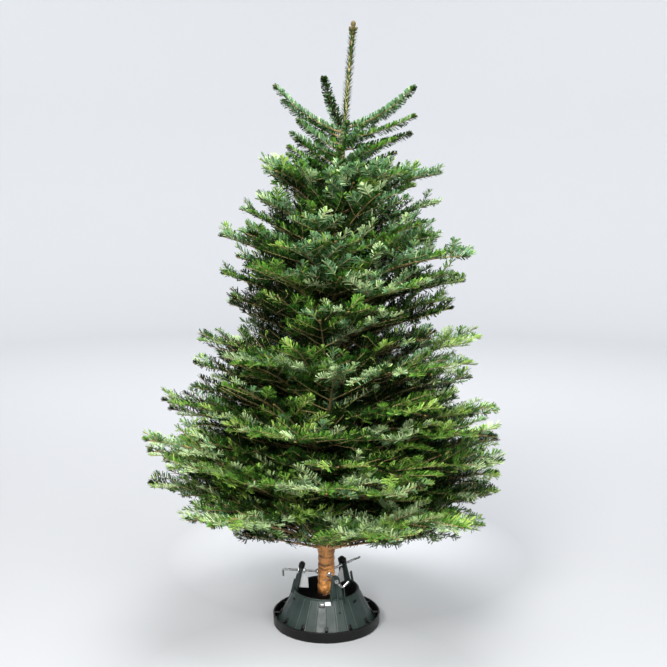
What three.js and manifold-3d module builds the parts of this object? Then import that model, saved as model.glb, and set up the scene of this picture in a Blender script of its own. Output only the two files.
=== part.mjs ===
// A cut fir tree for indoor use, held upright in a round plastic water stand.
// Units are millimetres with +Z up. The origin is the centre of the stand's flat underside.
//
// The trunk runs from its flat cut in the stand's bowl to the fork below the leader. Boughs and
// foliage are worked out from a few whorls: each bough leaves the trunk at an azimuth, rises and
// then levels out, and carries one flat frond of foliage. A frond is a three-sided stem with side
// shoots in pairs, and each shoot is a toothed blade that stands for a spray of needles.

import * as THREE from "three";
import { mergeVertices } from "three/addons/utils/BufferGeometryUtils.js";
import Module from "manifold-3d";

const wasm = await Module();
wasm.setup();

// ---------------------------------------------------------------- driving dimensions

const CLEARANCE = 0.3; // gap between pieces that touch

const TRUNK = {
  foot: 48.3, // height of the flat cut, on the floor of the bowl
  fork: 1645, // where the leader takes over
  flareHeight: 40, // the butt swells over this height
  flare: 3,
  lowRadius: 30.5,
  forkRadius: 8.5,
  leanStart: 700, // straight below this height
  leanTop: 1965, // height at which the whole lean is reached
  lean: 87, // sideways offset there, towards +X
  leanPower: 1.4,
  sides: 12,
  steps: 9,
};

const STAND = {
  panels: 27, // flat panels round the skirt
  dishRadius: 180,
  dishHeight: 38,
  dishWall: 4,
  dishFloor: 4,
  skirtRadius: 169,
  rimRadius: 109,
  rimHeight: 121,
  rimWidth: 5,
  skirtWall: 3.5,
  bowlFloor: 48,
  bowlFloorRadius: 92,
  bowlWall: 3.5,
};

const ARM = {
  azimuths: [-70, 50, 170],
  footRadius: 100, // middle of the arm where it grows out of the rim
  footHeight: 112,
  footWidth: 58,
  footDepth: 12,
  headRadius: 84,
  headHeight: 192,
  headWidth: 24,
  headDepth: 16,
  screwHeight: 175,
};

const SCREW = {
  radius: 4,
  elbowRadius: 150, // distance from the stand's axis to the crank's bend
  bend: 8, // radius of the bend
  crank: 30, // length of the handle past the bend
  crankTurns: [42, 150, 250], // how far each handle is turned up from level, in degrees
  padRadius: 9,
  padThickness: 4,
};

// One row for each whorl or ring of boughs, from the ground up. rise is the bough's slope at the
// trunk and at its tip, in degrees. years is the number of yearly shoots along it, with a pair of
// side shoots where each ends, and side is their length as a share of the stem beyond them. bare
// is the share of its length that is a bough of its own, without needles, and leafy the share after
// which its own stem is clad in needles. lopsided makes the boughs towards +X longer, and lower.
const WHORLS = [
  { name: "low", height: 262, count: 5, first: 3, length: 605, rise: [32, 10], years: 6, side: 0.6, bare: 0.3, leafy: 0.8, lopsided: 0 },
  { name: "lower_middle", height: 400, count: 4, first: 2, length: 650, rise: [32, 7], years: 5, side: 0.6, bare: 0, leafy: 0.75, lopsided: 0.01 },
  { name: "middle", height: 524, count: 5, first: 188, length: 630, rise: [37, 8], years: 5, side: 0.6, bare: 0.3, leafy: 0.75, lopsided: 0.05 },
  { name: "upper_middle", height: 753, count: 5, first: 22, length: 565, rise: [38, 5], years: 4, side: 0.6, bare: 0, leafy: 0.7, lopsided: 0.11 },
  { name: "inner", height: 925, count: 5, first: 206, length: 410, rise: [42, 12], years: 4, side: 0.6, bare: 0, leafy: 0.7, lopsided: 0.08 },
  { name: "upper", height: 1090, count: 5, first: 180, length: 475, rise: [42, 10], years: 4, side: 0.6, bare: 0, leafy: 0.7, lopsided: 0.12 },
  { name: "high", height: 1353, count: 5, first: 12, length: 345, rise: [44, 14], years: 4, side: 0.6, bare: 0, leafy: 0.55, lopsided: 0.05 },
  { name: "brush", height: 1560, count: 4, first: 10, length: 215, rise: [14, 34], years: 2, side: 0.3, bare: 0, leafy: 0.12, lopsided: 0.14 },
  { name: "top", height: 1628, count: 5, first: 180, length: 288, rise: [11, 44], years: 2, side: 0.3, bare: 0, leafy: 0.1, lopsided: 0.07 },
];

const LEADER = { top: 1965, radius: 7, tipRadius: 4.5, needleReach: 11, teeth: 3 };

const BOUGH = {
  sides: 6,
  steps: 2,
  rootRadius: 0.0125, // as a share of the bough's length
  tipRadius: 0.006,
  sag: 0.5, // how far a longer bough hangs lower, in radians for a lopsided of 1
};

const FROND = {
  sideAngle: 48, // between a side shoot and the stem that carries it
  sideLeast: 30, // added to each side shoot's length
  forwardCurl: 0.35, // how far a side shoot turns towards its stem's tip
  halfWidth: 12, // of a spray of needles, to which a share of its length is added
  widening: 0.18, // that share, for side shoots as long as their stem
  thickness: 7,
  stemSteps: 4,
  neck: 14, // a blade reaches its full width this far from its root
  notchDepth: 0.22, // the width left between two teeth, as a share
  toothSpacing: 84,
  tipTurn: 12, // random roll of a blade about its own length, in degrees
  heightBand: 75, // a frond keeps within this height of its own stem
  finest: 1.2, // edges shorter than this are merged away
  crowded: [1, 0.72], // a shoot that has no room is tried shorter, then left out
  fork: 265, // a side shoot longer than this carries two of its own
};

const COLOURS = {
  bark: { color: 0x8a6a45, roughness: 0.9 },
  needles: { color: 0x2f5a34, roughness: 0.55 },
  youngNeedles: { color: 0x5b7f45, roughness: 0.55 },
  greenPlastic: { color: 0x35504a, roughness: 0.45 },
  blackPlastic: { color: 0x1b1b1c, roughness: 0.5 },
  steel: { color: 0xb9bcc0, roughness: 0.3, metalness: 1 },
};

// ---------------------------------------------------------------- small tools

const radians = THREE.MathUtils.degToRad;

// The same number from 0 to 1 for the same three keys, every run.
function roll(a, b, c) {
  const wave = Math.sin(a * 12.9898 + b * 78.233 + c * 37.719) * 43758.5453;
  return wave - Math.floor(wave);
}

const between = (low, high, share) => low + (high - low) * share;

// A three.js geometry as a solid that can be joined and cut.
function solidOf(geometry) {
  const bare = geometry.clone();
  bare.deleteAttribute("normal");
  bare.deleteAttribute("uv");
  const merged = mergeVertices(bare, 1e-4);
  return new wasm.Manifold(
    new wasm.Mesh({
      numProp: 3,
      vertProperties: new Float32Array(merged.attributes.position.array),
      triVerts: new Uint32Array(merged.index.array),
    }),
  );
}

function meshOf(name, solid, look) {
  const raw = solid.getMesh();
  const geometry = new THREE.BufferGeometry();
  geometry.setAttribute("position", new THREE.BufferAttribute(new Float32Array(raw.vertProperties), 3));
  geometry.setIndex(new THREE.BufferAttribute(new Uint32Array(raw.triVerts), 1));
  geometry.computeVertexNormals();
  const mesh = new THREE.Mesh(geometry, new THREE.MeshStandardMaterial(look));
  mesh.name = name;
  return mesh;
}

// A closed ring or disc from a profile of [radius, height] points.
function turned(profile, sides) {
  const points = profile.map(([r, z]) => new THREE.Vector2(r, z));
  const geometry = new THREE.LatheGeometry(points, sides);
  geometry.rotateX(Math.PI / 2); // the lathe turns about Y
  return solidOf(geometry);
}

// A round limb with flat ends along path(s), s from 0 to 1, with its own radius at each place.
// path gives { point, side, up }, where side and up span the limb's cross-section.
function limb(path, radiusAt, sides, steps) {
  const geometry = new THREE.CylinderGeometry(1, 1, 1, sides, steps, false, Math.PI / 2);
  const place = geometry.attributes.position;
  for (let i = 0; i < place.count; i++) {
    const s = place.getY(i) + 0.5;
    const { point, side, up } = path(s);
    const r = radiusAt(s);
    const moved = point
      .clone()
      .addScaledVector(side, place.getZ(i) * r)
      .addScaledVector(up, place.getX(i) * r);
    place.setXYZ(i, moved.x, moved.y, moved.z);
  }
  return solidOf(geometry);
}

// ---------------------------------------------------------------- trunk

function trunkAt(z) {
  const share = Math.max(0, (z - TRUNK.leanStart) / (TRUNK.leanTop - TRUNK.leanStart));
  return new THREE.Vector3(TRUNK.lean * share ** TRUNK.leanPower, 0, z);
}

// The trunk's own slope away from upright, in radians.
function trunkLean(z) {
  const step = 10;
  return Math.atan((trunkAt(z + step).x - trunkAt(z - step).x) / (2 * step));
}

function trunkRadius(z) {
  const share = (z - TRUNK.foot) / (TRUNK.fork - TRUNK.foot);
  const butt = Math.max(0, 1 - (z - TRUNK.foot) / TRUNK.flareHeight);
  return between(TRUNK.lowRadius, TRUNK.forkRadius, share ** 0.85) + TRUNK.flare * butt;
}

// The trunk grown by a margin all round, which is also what cuts its neighbours clear of it.
function trunkSolid(margin) {
  const path = (s) => ({
    point: trunkAt(between(TRUNK.foot - margin, TRUNK.fork + margin, s)),
    side: new THREE.Vector3(1, 0, 0),
    up: new THREE.Vector3(0, 1, 0),
  });
  const radiusAt = (s) => trunkRadius(between(TRUNK.foot, TRUNK.fork, s)) + margin;
  return limb(path, radiusAt, TRUNK.sides, TRUNK.steps);
}

// ---------------------------------------------------------------- stand

function dish() {
  const { dishRadius: r, dishHeight: h, dishWall: wall, dishFloor: floor } = STAND;
  const profile = [[0, 0], [r, 0], [r, h], [r - wall, h], [r - wall, floor], [0, floor]];
  return turned(profile, STAND.panels);
}

// One panelled shell: the skirt outside, a rolled rim, and the bowl inside it that holds water.
function housing() {
  const foot = STAND.dishFloor + CLEARANCE;
  const { skirtRadius, rimRadius, rimHeight, rimWidth, skirtWall, bowlFloor, bowlFloorRadius, bowlWall } = STAND;
  const lip = rimRadius - rimWidth;
  const profile = [
    [0, bowlFloor - bowlWall],
    [bowlFloorRadius, bowlFloor - bowlWall],
    [lip - bowlWall / 2, rimHeight - rimWidth],
    [rimRadius - skirtWall, rimHeight - rimWidth],
    [skirtRadius - skirtWall, foot],
    [skirtRadius, foot],
    [rimRadius, rimHeight - rimWidth],
    [rimRadius, rimHeight],
    [lip, rimHeight],
    [lip - bowlWall, rimHeight - rimWidth],
    [bowlFloorRadius - bowlWall, bowlFloor],
    [0, bowlFloor],
  ];
  return turned(profile, STAND.panels);
}

// A block whose foot and head differ in size and place, built along +X and turned to its azimuth.
function arm(azimuth) {
  const geometry = new THREE.BoxGeometry(1, 1, 1, 1, 1, 1);
  const place = geometry.attributes.position;
  for (let i = 0; i < place.count; i++) {
    const high = place.getZ(i) > 0 ? 1 : 0;
    const middle = between(ARM.footRadius, ARM.headRadius, high);
    const depth = between(ARM.footDepth, ARM.headDepth, high);
    const width = between(ARM.footWidth, ARM.headWidth, high);
    place.setXYZ(
      i,
      middle + place.getX(i) * depth,
      place.getY(i) * width,
      between(ARM.footHeight, ARM.headHeight, high),
    );
  }
  geometry.rotateZ(radians(azimuth));
  return solidOf(geometry);
}

// The rod, its bend and its handle, from the pad on the trunk outwards, as a path in s.
function screwPath(azimuth, turn, start) {
  const out = new THREE.Vector3(Math.cos(radians(azimuth)), Math.sin(radians(azimuth)), 0);
  const level = new THREE.Vector3(-out.y, out.x, 0);
  const handle = level.clone().multiplyScalar(Math.cos(radians(turn)));
  handle.z = Math.sin(radians(turn));
  const at = (r, h) =>
    out.clone().multiplyScalar(r).addScaledVector(handle, h).setZ(ARM.screwHeight + handle.z * h);
  const { elbowRadius, bend, crank } = SCREW;
  const curve = new THREE.CurvePath();
  curve.add(new THREE.LineCurve3(at(start, 0), at(elbowRadius - bend, 0)));
  curve.add(new THREE.QuadraticBezierCurve3(at(elbowRadius - bend, 0), at(elbowRadius, 0), at(elbowRadius, bend)));
  curve.add(new THREE.LineCurve3(at(elbowRadius, bend), at(elbowRadius, crank)));
  const side = out.clone().cross(handle);
  return (s) => {
    const along = curve.getTangentAt(s);
    return { point: curve.getPointAt(s), side, up: along.clone().cross(side) };
  };
}

function screw(azimuth, turn) {
  const start = trunkRadius(ARM.screwHeight);
  const rod = limb(screwPath(azimuth, turn, start), () => SCREW.radius, 6, 8);
  const pad = new THREE.CylinderGeometry(SCREW.padRadius, SCREW.padRadius, SCREW.padThickness, 8);
  pad.rotateZ(Math.PI / 2);
  pad.translate(start + SCREW.padThickness / 2, 0, ARM.screwHeight);
  pad.rotateZ(radians(azimuth));
  return rod.add(solidOf(pad)).subtract(trunkSolid(CLEARANCE));
}

// A round hole through an arm's head, with clearance for the screw.
function screwHole(azimuth) {
  const radius = SCREW.radius + CLEARANCE;
  const hole = new THREE.CylinderGeometry(radius, radius, 3 * ARM.headDepth, 10);
  hole.rotateZ(Math.PI / 2);
  hole.translate(ARM.headRadius, 0, ARM.screwHeight);
  hole.rotateZ(radians(azimuth));
  return solidOf(hole);
}

// ---------------------------------------------------------------- boughs and foliage

// The bough's centre line: its slope changes evenly from rise[0] at the trunk to rise[1] at the
// tip, so its reach and height are the integrals of the slope's cosine and sine.
function boughPath(whorl, index) {
  const id = WHORLS.indexOf(whorl);
  const azimuth = whorl.first + (360 / whorl.count) * (index + 0.16 * (roll(id, index, 1) - 0.5));
  const lean = 1 + whorl.lopsided * Math.cos(radians(azimuth));
  const length = whorl.length * lean * between(0.95, 1.05, roll(id, index, 2));
  const [low, high] = whorl.rise.map(radians);
  const height = whorl.height + 20 * (roll(id, index, 4) - 0.5);
  const droop = trunkLean(height) + BOUGH.sag * whorl.lopsided;
  const lift = radians(6 * (roll(id, index, 3) - 0.5)) - droop * Math.cos(radians(azimuth));
  const root = trunkAt(height);
  const out = new THREE.Vector3(Math.cos(radians(azimuth)), Math.sin(radians(azimuth)), 0);
  const side = new THREE.Vector3(-out.y, out.x, 0);
  const bend = high - low;
  const at = (s) => {
    const slope = low + lift + bend * s;
    const reach = (length * (Math.sin(slope) - Math.sin(low + lift))) / bend;
    const rise = (length * (Math.cos(low + lift) - Math.cos(slope))) / bend;
    const along = out.clone().multiplyScalar(Math.cos(slope)).setZ(Math.sin(slope));
    const point = root.clone().addScaledVector(out, reach);
    point.z += rise;
    return { point, along, side, up: along.clone().cross(side) };
  };
  return { at, azimuth, length, root, id, index };
}

// The radius of a bough and of the stem that goes on from it.
const boughRadius = (bough, s) =>
  between(BOUGH.rootRadius * bough.length, BOUGH.tipRadius * bough.length * 0.6, s ** 0.7);

// A spray of needles: a thin blade along path(s) whose teeth lean towards its tip. It starts from a
// point inside its stem, each tooth has a notch before it, and it is thickest along its middle.
function spray(path, length, halfWidth) {
  const teeth = Math.max(1, Math.round(length / FROND.toothSpacing));
  const points = [];
  const faces = [];
  const put = (s, u, v) => {
    const { point, side, up } = path(s);
    points.push(point.clone().addScaledVector(side, u).addScaledVector(up, v));
    return points.length - 1;
  };
  const neck = Math.min(0.3, FROND.neck / length);
  const row = (k) => {
    const s = between(neck, 0.9, k / teeth);
    const half = (FROND.thickness / 2) * (1 - 0.4 * (k / teeth) ** 3);
    const notch = FROND.notchDepth * halfWidth * (1 - 0.4 * (k / teeth) ** 3);
    return { top: put(s, 0, half), bottom: put(s, 0, -half), notch: [put(s, notch, 0), put(s, -notch, 0)] };
  };
  const root = put(0, 0, 0);
  const rows = Array.from({ length: teeth + 1 }, (_, k) => row(k));
  const end = put(1, 0, 0);
  // Each face is wound for the top left quarter, and turned round for the two mirrored quarters.
  const quarters = [["top", 0, false], ["top", 1, true], ["bottom", 0, true], ["bottom", 1, false]];
  const face = (flip, a, b, c) => faces.push(...(flip ? [a, c, b] : [a, b, c]));
  for (let k = 0; k < teeth; k++) {
    const here = rows[k];
    const next = rows[k + 1];
    const reach = halfWidth * (1 - 0.35 * ((k + 1) / teeth) ** 2);
    const tip = between(neck, 0.9, Math.min(1.08, (k + 1.25) / teeth));
    const tooth = [put(tip, reach, 0), put(tip, -reach, 0)];
    for (const [middle, hand, flip] of quarters) {
      face(flip, here[middle], tooth[hand], here.notch[hand]);
      face(flip, here[middle], next[middle], tooth[hand]);
      face(flip, next[middle], next.notch[hand], tooth[hand]);
    }
  }
  for (const [middle, hand, flip] of quarters) {
    face(flip, root, rows[0][middle], rows[0].notch[hand]);
    face(flip, rows[teeth][middle], end, rows[teeth].notch[hand]);
  }
  const geometry = new THREE.BufferGeometry();
  geometry.setAttribute("position", new THREE.Float32BufferAttribute(points.flatMap((p) => p.toArray()), 3));
  geometry.setIndex(faces);
  return solidOf(geometry);
}

// A side shoot: straight out at its angle, then curling towards the tip of the stem it grows on.
function sideShoot(base, hand, length, keys) {
  const angle = radians(FROND.sideAngle + 10 * (roll(...keys) - 0.5));
  const start = base.along
    .clone()
    .multiplyScalar(Math.cos(angle))
    .addScaledVector(base.side, hand * Math.sin(angle))
    .addScaledVector(base.up, 0.12 * (roll(keys[0], keys[1], keys[2] + 0.5) - 0.3));
  const turn = radians(FROND.tipTurn * 2 * (roll(keys[0], keys[1], keys[2] + 0.7) - 0.5));
  return (s) => {
    const point = base.point
      .clone()
      .addScaledVector(start, length * s)
      .addScaledVector(base.along, (length * FROND.forwardCurl * s * s) / 2);
    const along = start.clone().addScaledVector(base.along, FROND.forwardCurl * s).normalize();
    const flat = base.up.clone().cross(along).normalize();
    const up = along.clone().cross(flat);
    const side = flat.clone().multiplyScalar(Math.cos(turn)).addScaledVector(up, Math.sin(turn));
    return { point, along, side, up: along.clone().cross(side) };
  };
}

// A stretch of a path, as a path of its own.
const stretch = (path, from, to) => (s) => path(between(from, to, s));

// Every solid so far, which a new spray has to stay clear of.
const placed = [];

function isClear(solid, own) {
  const mine = solid.boundingBox();
  return placed.every(({ name, shape, box }) => {
    const apart = [0, 1, 2].some((k) => box.min[k] > mine.max[k] + 1 || box.max[k] < mine.min[k] - 1);
    return name === own || apart || shape.minGap(solid, 1) >= 1;
  });
}

// A frond keeps to its own wedge round the trunk and near its own stem's height.
function keepsToItsSpace(bough, whorl, solid, trunkClear) {
  const raw = solid.getMesh();
  const wedge = radians(180 / whorl.count) * 0.97;
  for (let i = 0; i < raw.vertProperties.length; i += 3) {
    const [x, y, z] = raw.vertProperties.subarray(i, i + 3);
    const off = new THREE.Vector3(x, y, z).sub(bough.root);
    const reach = Math.hypot(off.x, off.y);
    const swing = Math.atan2(off.y, off.x) - radians(bough.azimuth);
    const turned = Math.abs(Math.atan2(Math.sin(swing), Math.cos(swing)));
    const level = bough.at(Math.min(1, reach / bough.length)).point.z;
    if (turned > wedge || Math.abs(z - level) > FROND.heightBand) return false;
  }
  return trunkClear.intersect(solid).volume() === 0;
}

// The foliage of one bough, from the share of its length where it starts.
function frond(name, bough, whorl, trunkClear) {
  const start = whorl.bare ? whorl.bare + CLEARANCE / bough.length : 0;
  const end = whorl.leafy + 0.08;
  const stem = limb(stretch(bough.at, start, end), (s) => boughRadius(bough, between(start, end, s)), 3, FROND.stemSteps);
  let mass = stem;
  const add = (path, length) => {
    const solid = spray(path, length, FROND.halfWidth + FROND.widening * whorl.side * length);
    const fits = keepsToItsSpace(bough, whorl, solid, trunkClear) && isClear(solid, name);
    if (fits) mass = mass.add(solid);
    return fits;
  };
  // The last shoot of the stem itself, with needles right to the tip.
  add(stretch(bough.at, whorl.leafy, 1), bough.length * (1 - whorl.leafy));
  // Two side shoots at each yearly node.
  for (let node = 1; node < whorl.years; node++) {
    const s = node / whorl.years;
    if (s < start + 0.02) continue;
    const longest = bough.length * (1 - s) * whorl.side + FROND.sideLeast;
    [1, -1].forEach((hand) => {
      const keys = [10 * bough.id + bough.index, node, hand];
      const shoot = (length) => sideShoot(bough.at(s), hand, length, keys);
      const length = FROND.crowded.map((share) => longest * share).find((size) => add(shoot(size), size));
      if (!length || length < FROND.fork) return;
      const path = shoot(length);
      [1, -1].forEach((twig) => {
        const small = length * 0.42;
        add(sideShoot(path(0.42), twig, small, [keys[0] + 0.3, node, hand + twig / 4]), small);
      });
    });
  }
  return mass.simplify(FROND.finest).subtract(trunkClear);
}

function leader() {
  const { top, radius, tipRadius, needleReach, teeth } = LEADER;
  const from = TRUNK.fork + CLEARANCE;
  const path = (s) => ({
    point: trunkAt(between(from, top, s)),
    side: new THREE.Vector3(1, 0, 0),
    up: new THREE.Vector3(0, 1, 0),
  });
  let shoot = limb(path, (s) => between(radius, tipRadius, s), 6, 2);
  const reach = radius + needleReach;
  [25, 115].forEach((turn) => {
    const side = new THREE.Vector3(Math.cos(radians(turn)), Math.sin(radians(turn)), 0);
    const up = new THREE.Vector3(-side.y, side.x, 0);
    const blade = (s) => ({ point: trunkAt(between(from + 4, top, s)), side, up });
    shoot = shoot.add(spray(blade, FROND.toothSpacing * teeth, reach));
  });
  return shoot;
}

// ---------------------------------------------------------------- assembly

const tree = new THREE.Group();

function place(name, solid, look) {
  placed.push({ name, shape: solid, box: solid.boundingBox() });
  tree.add(meshOf(name, solid, look));
}

place("stand_dish", dish(), COLOURS.blackPlastic);
const arms = ARM.azimuths.map((azimuth) => arm(azimuth).subtract(screwHole(azimuth)));
place("stand_housing", arms.reduce((body, next) => body.add(next), housing()), COLOURS.greenPlastic);
ARM.azimuths.forEach((azimuth, i) => place("stand_screw_" + (i + 1), screw(azimuth, SCREW.crankTurns[i]), COLOURS.steel));

const trunkClear = trunkSolid(CLEARANCE);
place("trunk", trunkSolid(0), COLOURS.bark);
place("leader_shoot", leader(), COLOURS.youngNeedles);

const limbs = WHORLS.flatMap((whorl) =>
  Array.from({ length: whorl.count }, (_, i) => ({ whorl, bough: boughPath(whorl, i), label: whorl.name + "_" + (i + 1) })),
);
for (const { whorl, bough, label } of limbs.filter((one) => one.whorl.bare)) {
  const solid = limb(
    stretch(bough.at, 0, whorl.bare),
    (s) => boughRadius(bough, s * whorl.bare),
    BOUGH.sides,
    BOUGH.steps,
  );
  place("bough_" + label, solid.subtract(trunkClear), COLOURS.bark);
}
for (const { whorl, bough, label } of limbs) {
  const name = "foliage_" + label;
  place(name, frond(name, bough, whorl, trunkClear), whorl.years > 1 ? COLOURS.needles : COLOURS.youngNeedles);
}

export default tree;
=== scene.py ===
import math
import bpy
import numpy as np
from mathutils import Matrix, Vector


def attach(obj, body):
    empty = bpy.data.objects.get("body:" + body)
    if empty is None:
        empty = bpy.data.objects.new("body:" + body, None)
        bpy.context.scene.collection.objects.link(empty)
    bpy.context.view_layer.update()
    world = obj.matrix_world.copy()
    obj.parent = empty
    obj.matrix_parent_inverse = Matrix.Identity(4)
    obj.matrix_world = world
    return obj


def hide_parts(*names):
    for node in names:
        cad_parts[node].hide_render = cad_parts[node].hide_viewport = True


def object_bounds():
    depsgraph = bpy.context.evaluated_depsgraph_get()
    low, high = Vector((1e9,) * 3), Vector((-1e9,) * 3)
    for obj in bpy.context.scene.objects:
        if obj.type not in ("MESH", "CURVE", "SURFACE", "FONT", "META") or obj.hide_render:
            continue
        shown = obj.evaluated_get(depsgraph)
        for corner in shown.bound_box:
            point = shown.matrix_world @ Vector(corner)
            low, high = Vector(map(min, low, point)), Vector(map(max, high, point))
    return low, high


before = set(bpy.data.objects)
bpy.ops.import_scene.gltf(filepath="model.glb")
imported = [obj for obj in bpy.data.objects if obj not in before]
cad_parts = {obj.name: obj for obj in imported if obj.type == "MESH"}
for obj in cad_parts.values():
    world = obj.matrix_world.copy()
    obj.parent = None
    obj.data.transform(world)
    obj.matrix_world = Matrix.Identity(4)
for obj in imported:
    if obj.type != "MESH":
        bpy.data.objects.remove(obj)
cadLow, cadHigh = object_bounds()
rng = np.random.default_rng(11)

# A cut fir in a water stand. Metres, +Z up, origin at the centre of the dish's underside.
# Boughs follow the source's rule; later orders of shoots repeat it inside each bough's own wedge.


def report(stage, count=""):
    print("stage:", stage, count, flush=True)


def roll(a, b, c):
    # a fixed number from 0 to 1 for every three numbers: the fraction of a large sine
    wave = np.sin(a * 12.9898 + b * 78.233 + c * 37.719) * 43758.5453
    return wave - np.floor(wave)


def between(low, high, share):
    # low at a share of 0, high at a share of 1
    return low + (high - low) * share


def unit(v):
    return v / np.maximum(np.linalg.norm(v, axis=-1, keepdims=True), 1e-12)


def wrapped(angle):
    # the same angle between minus and plus half a turn
    return np.arctan2(np.sin(angle), np.cos(angle))


def fallOff(distance):
    # a bell: 1 at no distance, near 0 past twice the width that the distance is measured in
    return np.exp(-distance ** 2)


def pick(group, index):
    return {key: value[index] for key, value in group.items()}


def joined(groups):
    return {key: np.concatenate([g[key] for g in groups]) for key in groups[0]}


def meshPiece(name, points, faces, material, slot=None, smooth=False, nodes=()):
    # points (n, 3) and faces (m, 3 or 4) as one object at the origin
    mesh = bpy.data.meshes.new(name)
    faces = np.ascontiguousarray(faces, dtype=np.int32)
    mesh.vertices.add(len(points))
    mesh.vertices.foreach_set("co", np.ascontiguousarray(points, dtype=np.float32).ravel())
    mesh.loops.add(faces.size)
    mesh.loops.foreach_set("vertex_index", faces.ravel())
    mesh.polygons.add(len(faces))
    mesh.polygons.foreach_set("loop_start", np.arange(0, faces.size, faces.shape[1], dtype=np.int32))
    mesh.polygons.foreach_set("use_smooth", np.full(len(faces), smooth))
    mesh.update(calc_edges=True)
    mesh.materials.append(material)
    piece = bpy.data.objects.new(name, mesh)
    bpy.context.scene.collection.objects.link(piece)
    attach(piece, "root")
    if nodes:
        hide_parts(*nodes)
    return piece


def tubes(frames, radius, sides):
    # ring k of limb i: a circle of radius[i, k] in the plane of side and up round point[i, k]
    point, _, side, up = frames
    n, k = radius.shape[:2]
    angle = np.arange(sides) * 2 * np.pi / sides
    rim = side[:, :, None] * np.cos(angle)[:, None] + up[:, :, None] * np.sin(angle)[:, None]
    wide = radius if radius.ndim == 3 else radius[..., None]
    points = (point[:, :, None] + wide[..., None] * rim).reshape(-1, 3)
    first = np.arange(n)[:, None, None] * k * sides + np.arange(k - 1)[None, :, None] * sides
    a = first + np.arange(sides)
    b = first + (np.arange(sides) + 1) % sides
    return points, np.stack([a, b, b + sides, a + sides], axis=-1).reshape(-1, 4)


def wallFaces(rows, around):
    # the four-cornered faces of a grid of points that closes round a turn
    a = np.arange(rows - 1)[:, None] * around + np.arange(around)
    b = np.arange(rows - 1)[:, None] * around + (np.arange(around) + 1) % around
    return np.stack([a, b, b + around, a + around], axis=-1).reshape(-1, 4)


def stacked(parts):
    # several (points, faces) as one
    offset, points, faces = 0, [], []
    for p, f in parts:
        points.append(p)
        faces.append(f + offset)
        offset += len(p)
    return np.concatenate(points), np.concatenate(faces)


def waves(u, v, turns, count, seed):
    # relief over an angle u and a length v: a sum of waves with whole turns round u
    dice = np.random.default_rng(seed)
    total = np.zeros(np.broadcast(u, v).shape)
    for _ in range(count):
        around = dice.integers(0, turns[0] + 1)
        along = dice.uniform(-turns[1], turns[1])
        total += np.sin(around * u + along * v + dice.uniform(0, 2 * np.pi))
    return total / math.sqrt(count)


def socketGroup(name, inputs, outputs):
    tree = bpy.data.node_groups.new(name, "ShaderNodeTree")
    for label, kind, value in inputs:
        made = tree.interface.new_socket(name=label, in_out="INPUT", socket_type=kind)
        if value is not None:
            made.default_value = value
    for label, kind in outputs:
        tree.interface.new_socket(name=label, in_out="OUTPUT", socket_type=kind)
    return tree, tree.nodes.new("NodeGroupInput"), tree.nodes.new("NodeGroupOutput")


def node(tree, kind, inputs=None, **settings):
    made = tree.nodes.new(kind)
    for key, value in settings.items():
        setattr(made, key, value)
    for key, value in (inputs or {}).items():
        if isinstance(value, bpy.types.NodeSocket):
            tree.links.new(value, made.inputs[key])
        else:
            made.inputs[key].default_value = value
    return made


def blotchGroup():
    # an uneven mask from 0 to 1, stretched along Z
    values = dict(Scale=20.0, Along=1.0, Low=0.35, High=0.65)
    inputs = [(label, "NodeSocketFloat", value) for label, value in values.items()]
    tree, given, result = socketGroup("blotches", inputs, [("Mask", "NodeSocketFloat")])
    where = node(tree, "ShaderNodeTexCoord").outputs["Object"]
    squeeze = node(tree, "ShaderNodeCombineXYZ", {0: 1.0, 1: 1.0, 2: given.outputs["Along"]}).outputs[0]
    place = node(tree, "ShaderNodeVectorMath", {0: where, 1: squeeze}, operation="MULTIPLY").outputs[0]
    pattern = {"Vector": place, "Scale": given.outputs["Scale"], "Detail": 4.0}
    noise = node(tree, "ShaderNodeTexNoise", pattern)
    limits = {0: noise.outputs["Fac"], 1: given.outputs["Low"], 2: given.outputs["High"]}
    tree.links.new(node(tree, "ShaderNodeMapRange", limits).outputs[0], result.inputs["Mask"])
    return tree


blotches = blotchGroup()


def newMaterial(name, **sockets):
    # a material with its Principled inputs set; an underscore in a name stands for a space
    material = bpy.data.materials.new(name)
    material.use_nodes = True
    tree = material.node_tree
    shader = tree.nodes["Principled BSDF"]
    for key, value in sockets.items():
        shader.inputs[key.replace("_", " ")].default_value = value
    return material, tree, shader


def mask(tree, scale, along=1.0, low=0.35, high=0.65):
    # the group of blotches with its own values
    made = node(tree, "ShaderNodeGroup")
    made.node_tree = blotches
    for key, value in (("Scale", scale), ("Along", along), ("Low", low), ("High", high)):
        made.inputs[key].default_value = value
    return made.outputs["Mask"]


def mixed(tree, factor, first, second):
    return node(tree, "ShaderNodeMix", {0: factor, 6: first, 7: second}, data_type="RGBA").outputs[2]


def ranged(tree, value, low=0.0, high=1.0, start=0.0, end=1.0):
    # a value between start and end becomes one between low and high
    return node(tree, "ShaderNodeMapRange", {0: value, 1: start, 2: end, 3: low, 4: high}).outputs[0]


def times(tree, value, factor):
    return node(tree, "ShaderNodeMath", {0: value, 1: factor}, operation="MULTIPLY").outputs[0]


def heightIn(tree):
    where = node(tree, "ShaderNodeTexCoord").outputs["Object"]
    return node(tree, "ShaderNodeSeparateXYZ", {0: where}).outputs[2]


def bumped(tree, shader, height, strength, distance):
    bump = node(tree, "ShaderNodeBump", {"Height": height, "Strength": strength, "Distance": distance})
    tree.links.new(bump.outputs[0], shader.inputs["Normal"])


def needleMaterial(name, colour, roughness):
    material, tree, shader = newMaterial("needle_" + name, Base_Color=(*colour, 1), Specular_IOR_Level=0.25)
    shine = ranged(tree, mask(tree, 60, 1.0, 0.3, 0.7), roughness - 0.08, roughness + 0.1)
    tree.links.new(shine, shader.inputs["Roughness"])
    bumped(tree, shader, mask(tree, 900, 1.0, 0.3, 0.7), 0.15, 0.0004)
    return material


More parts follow.
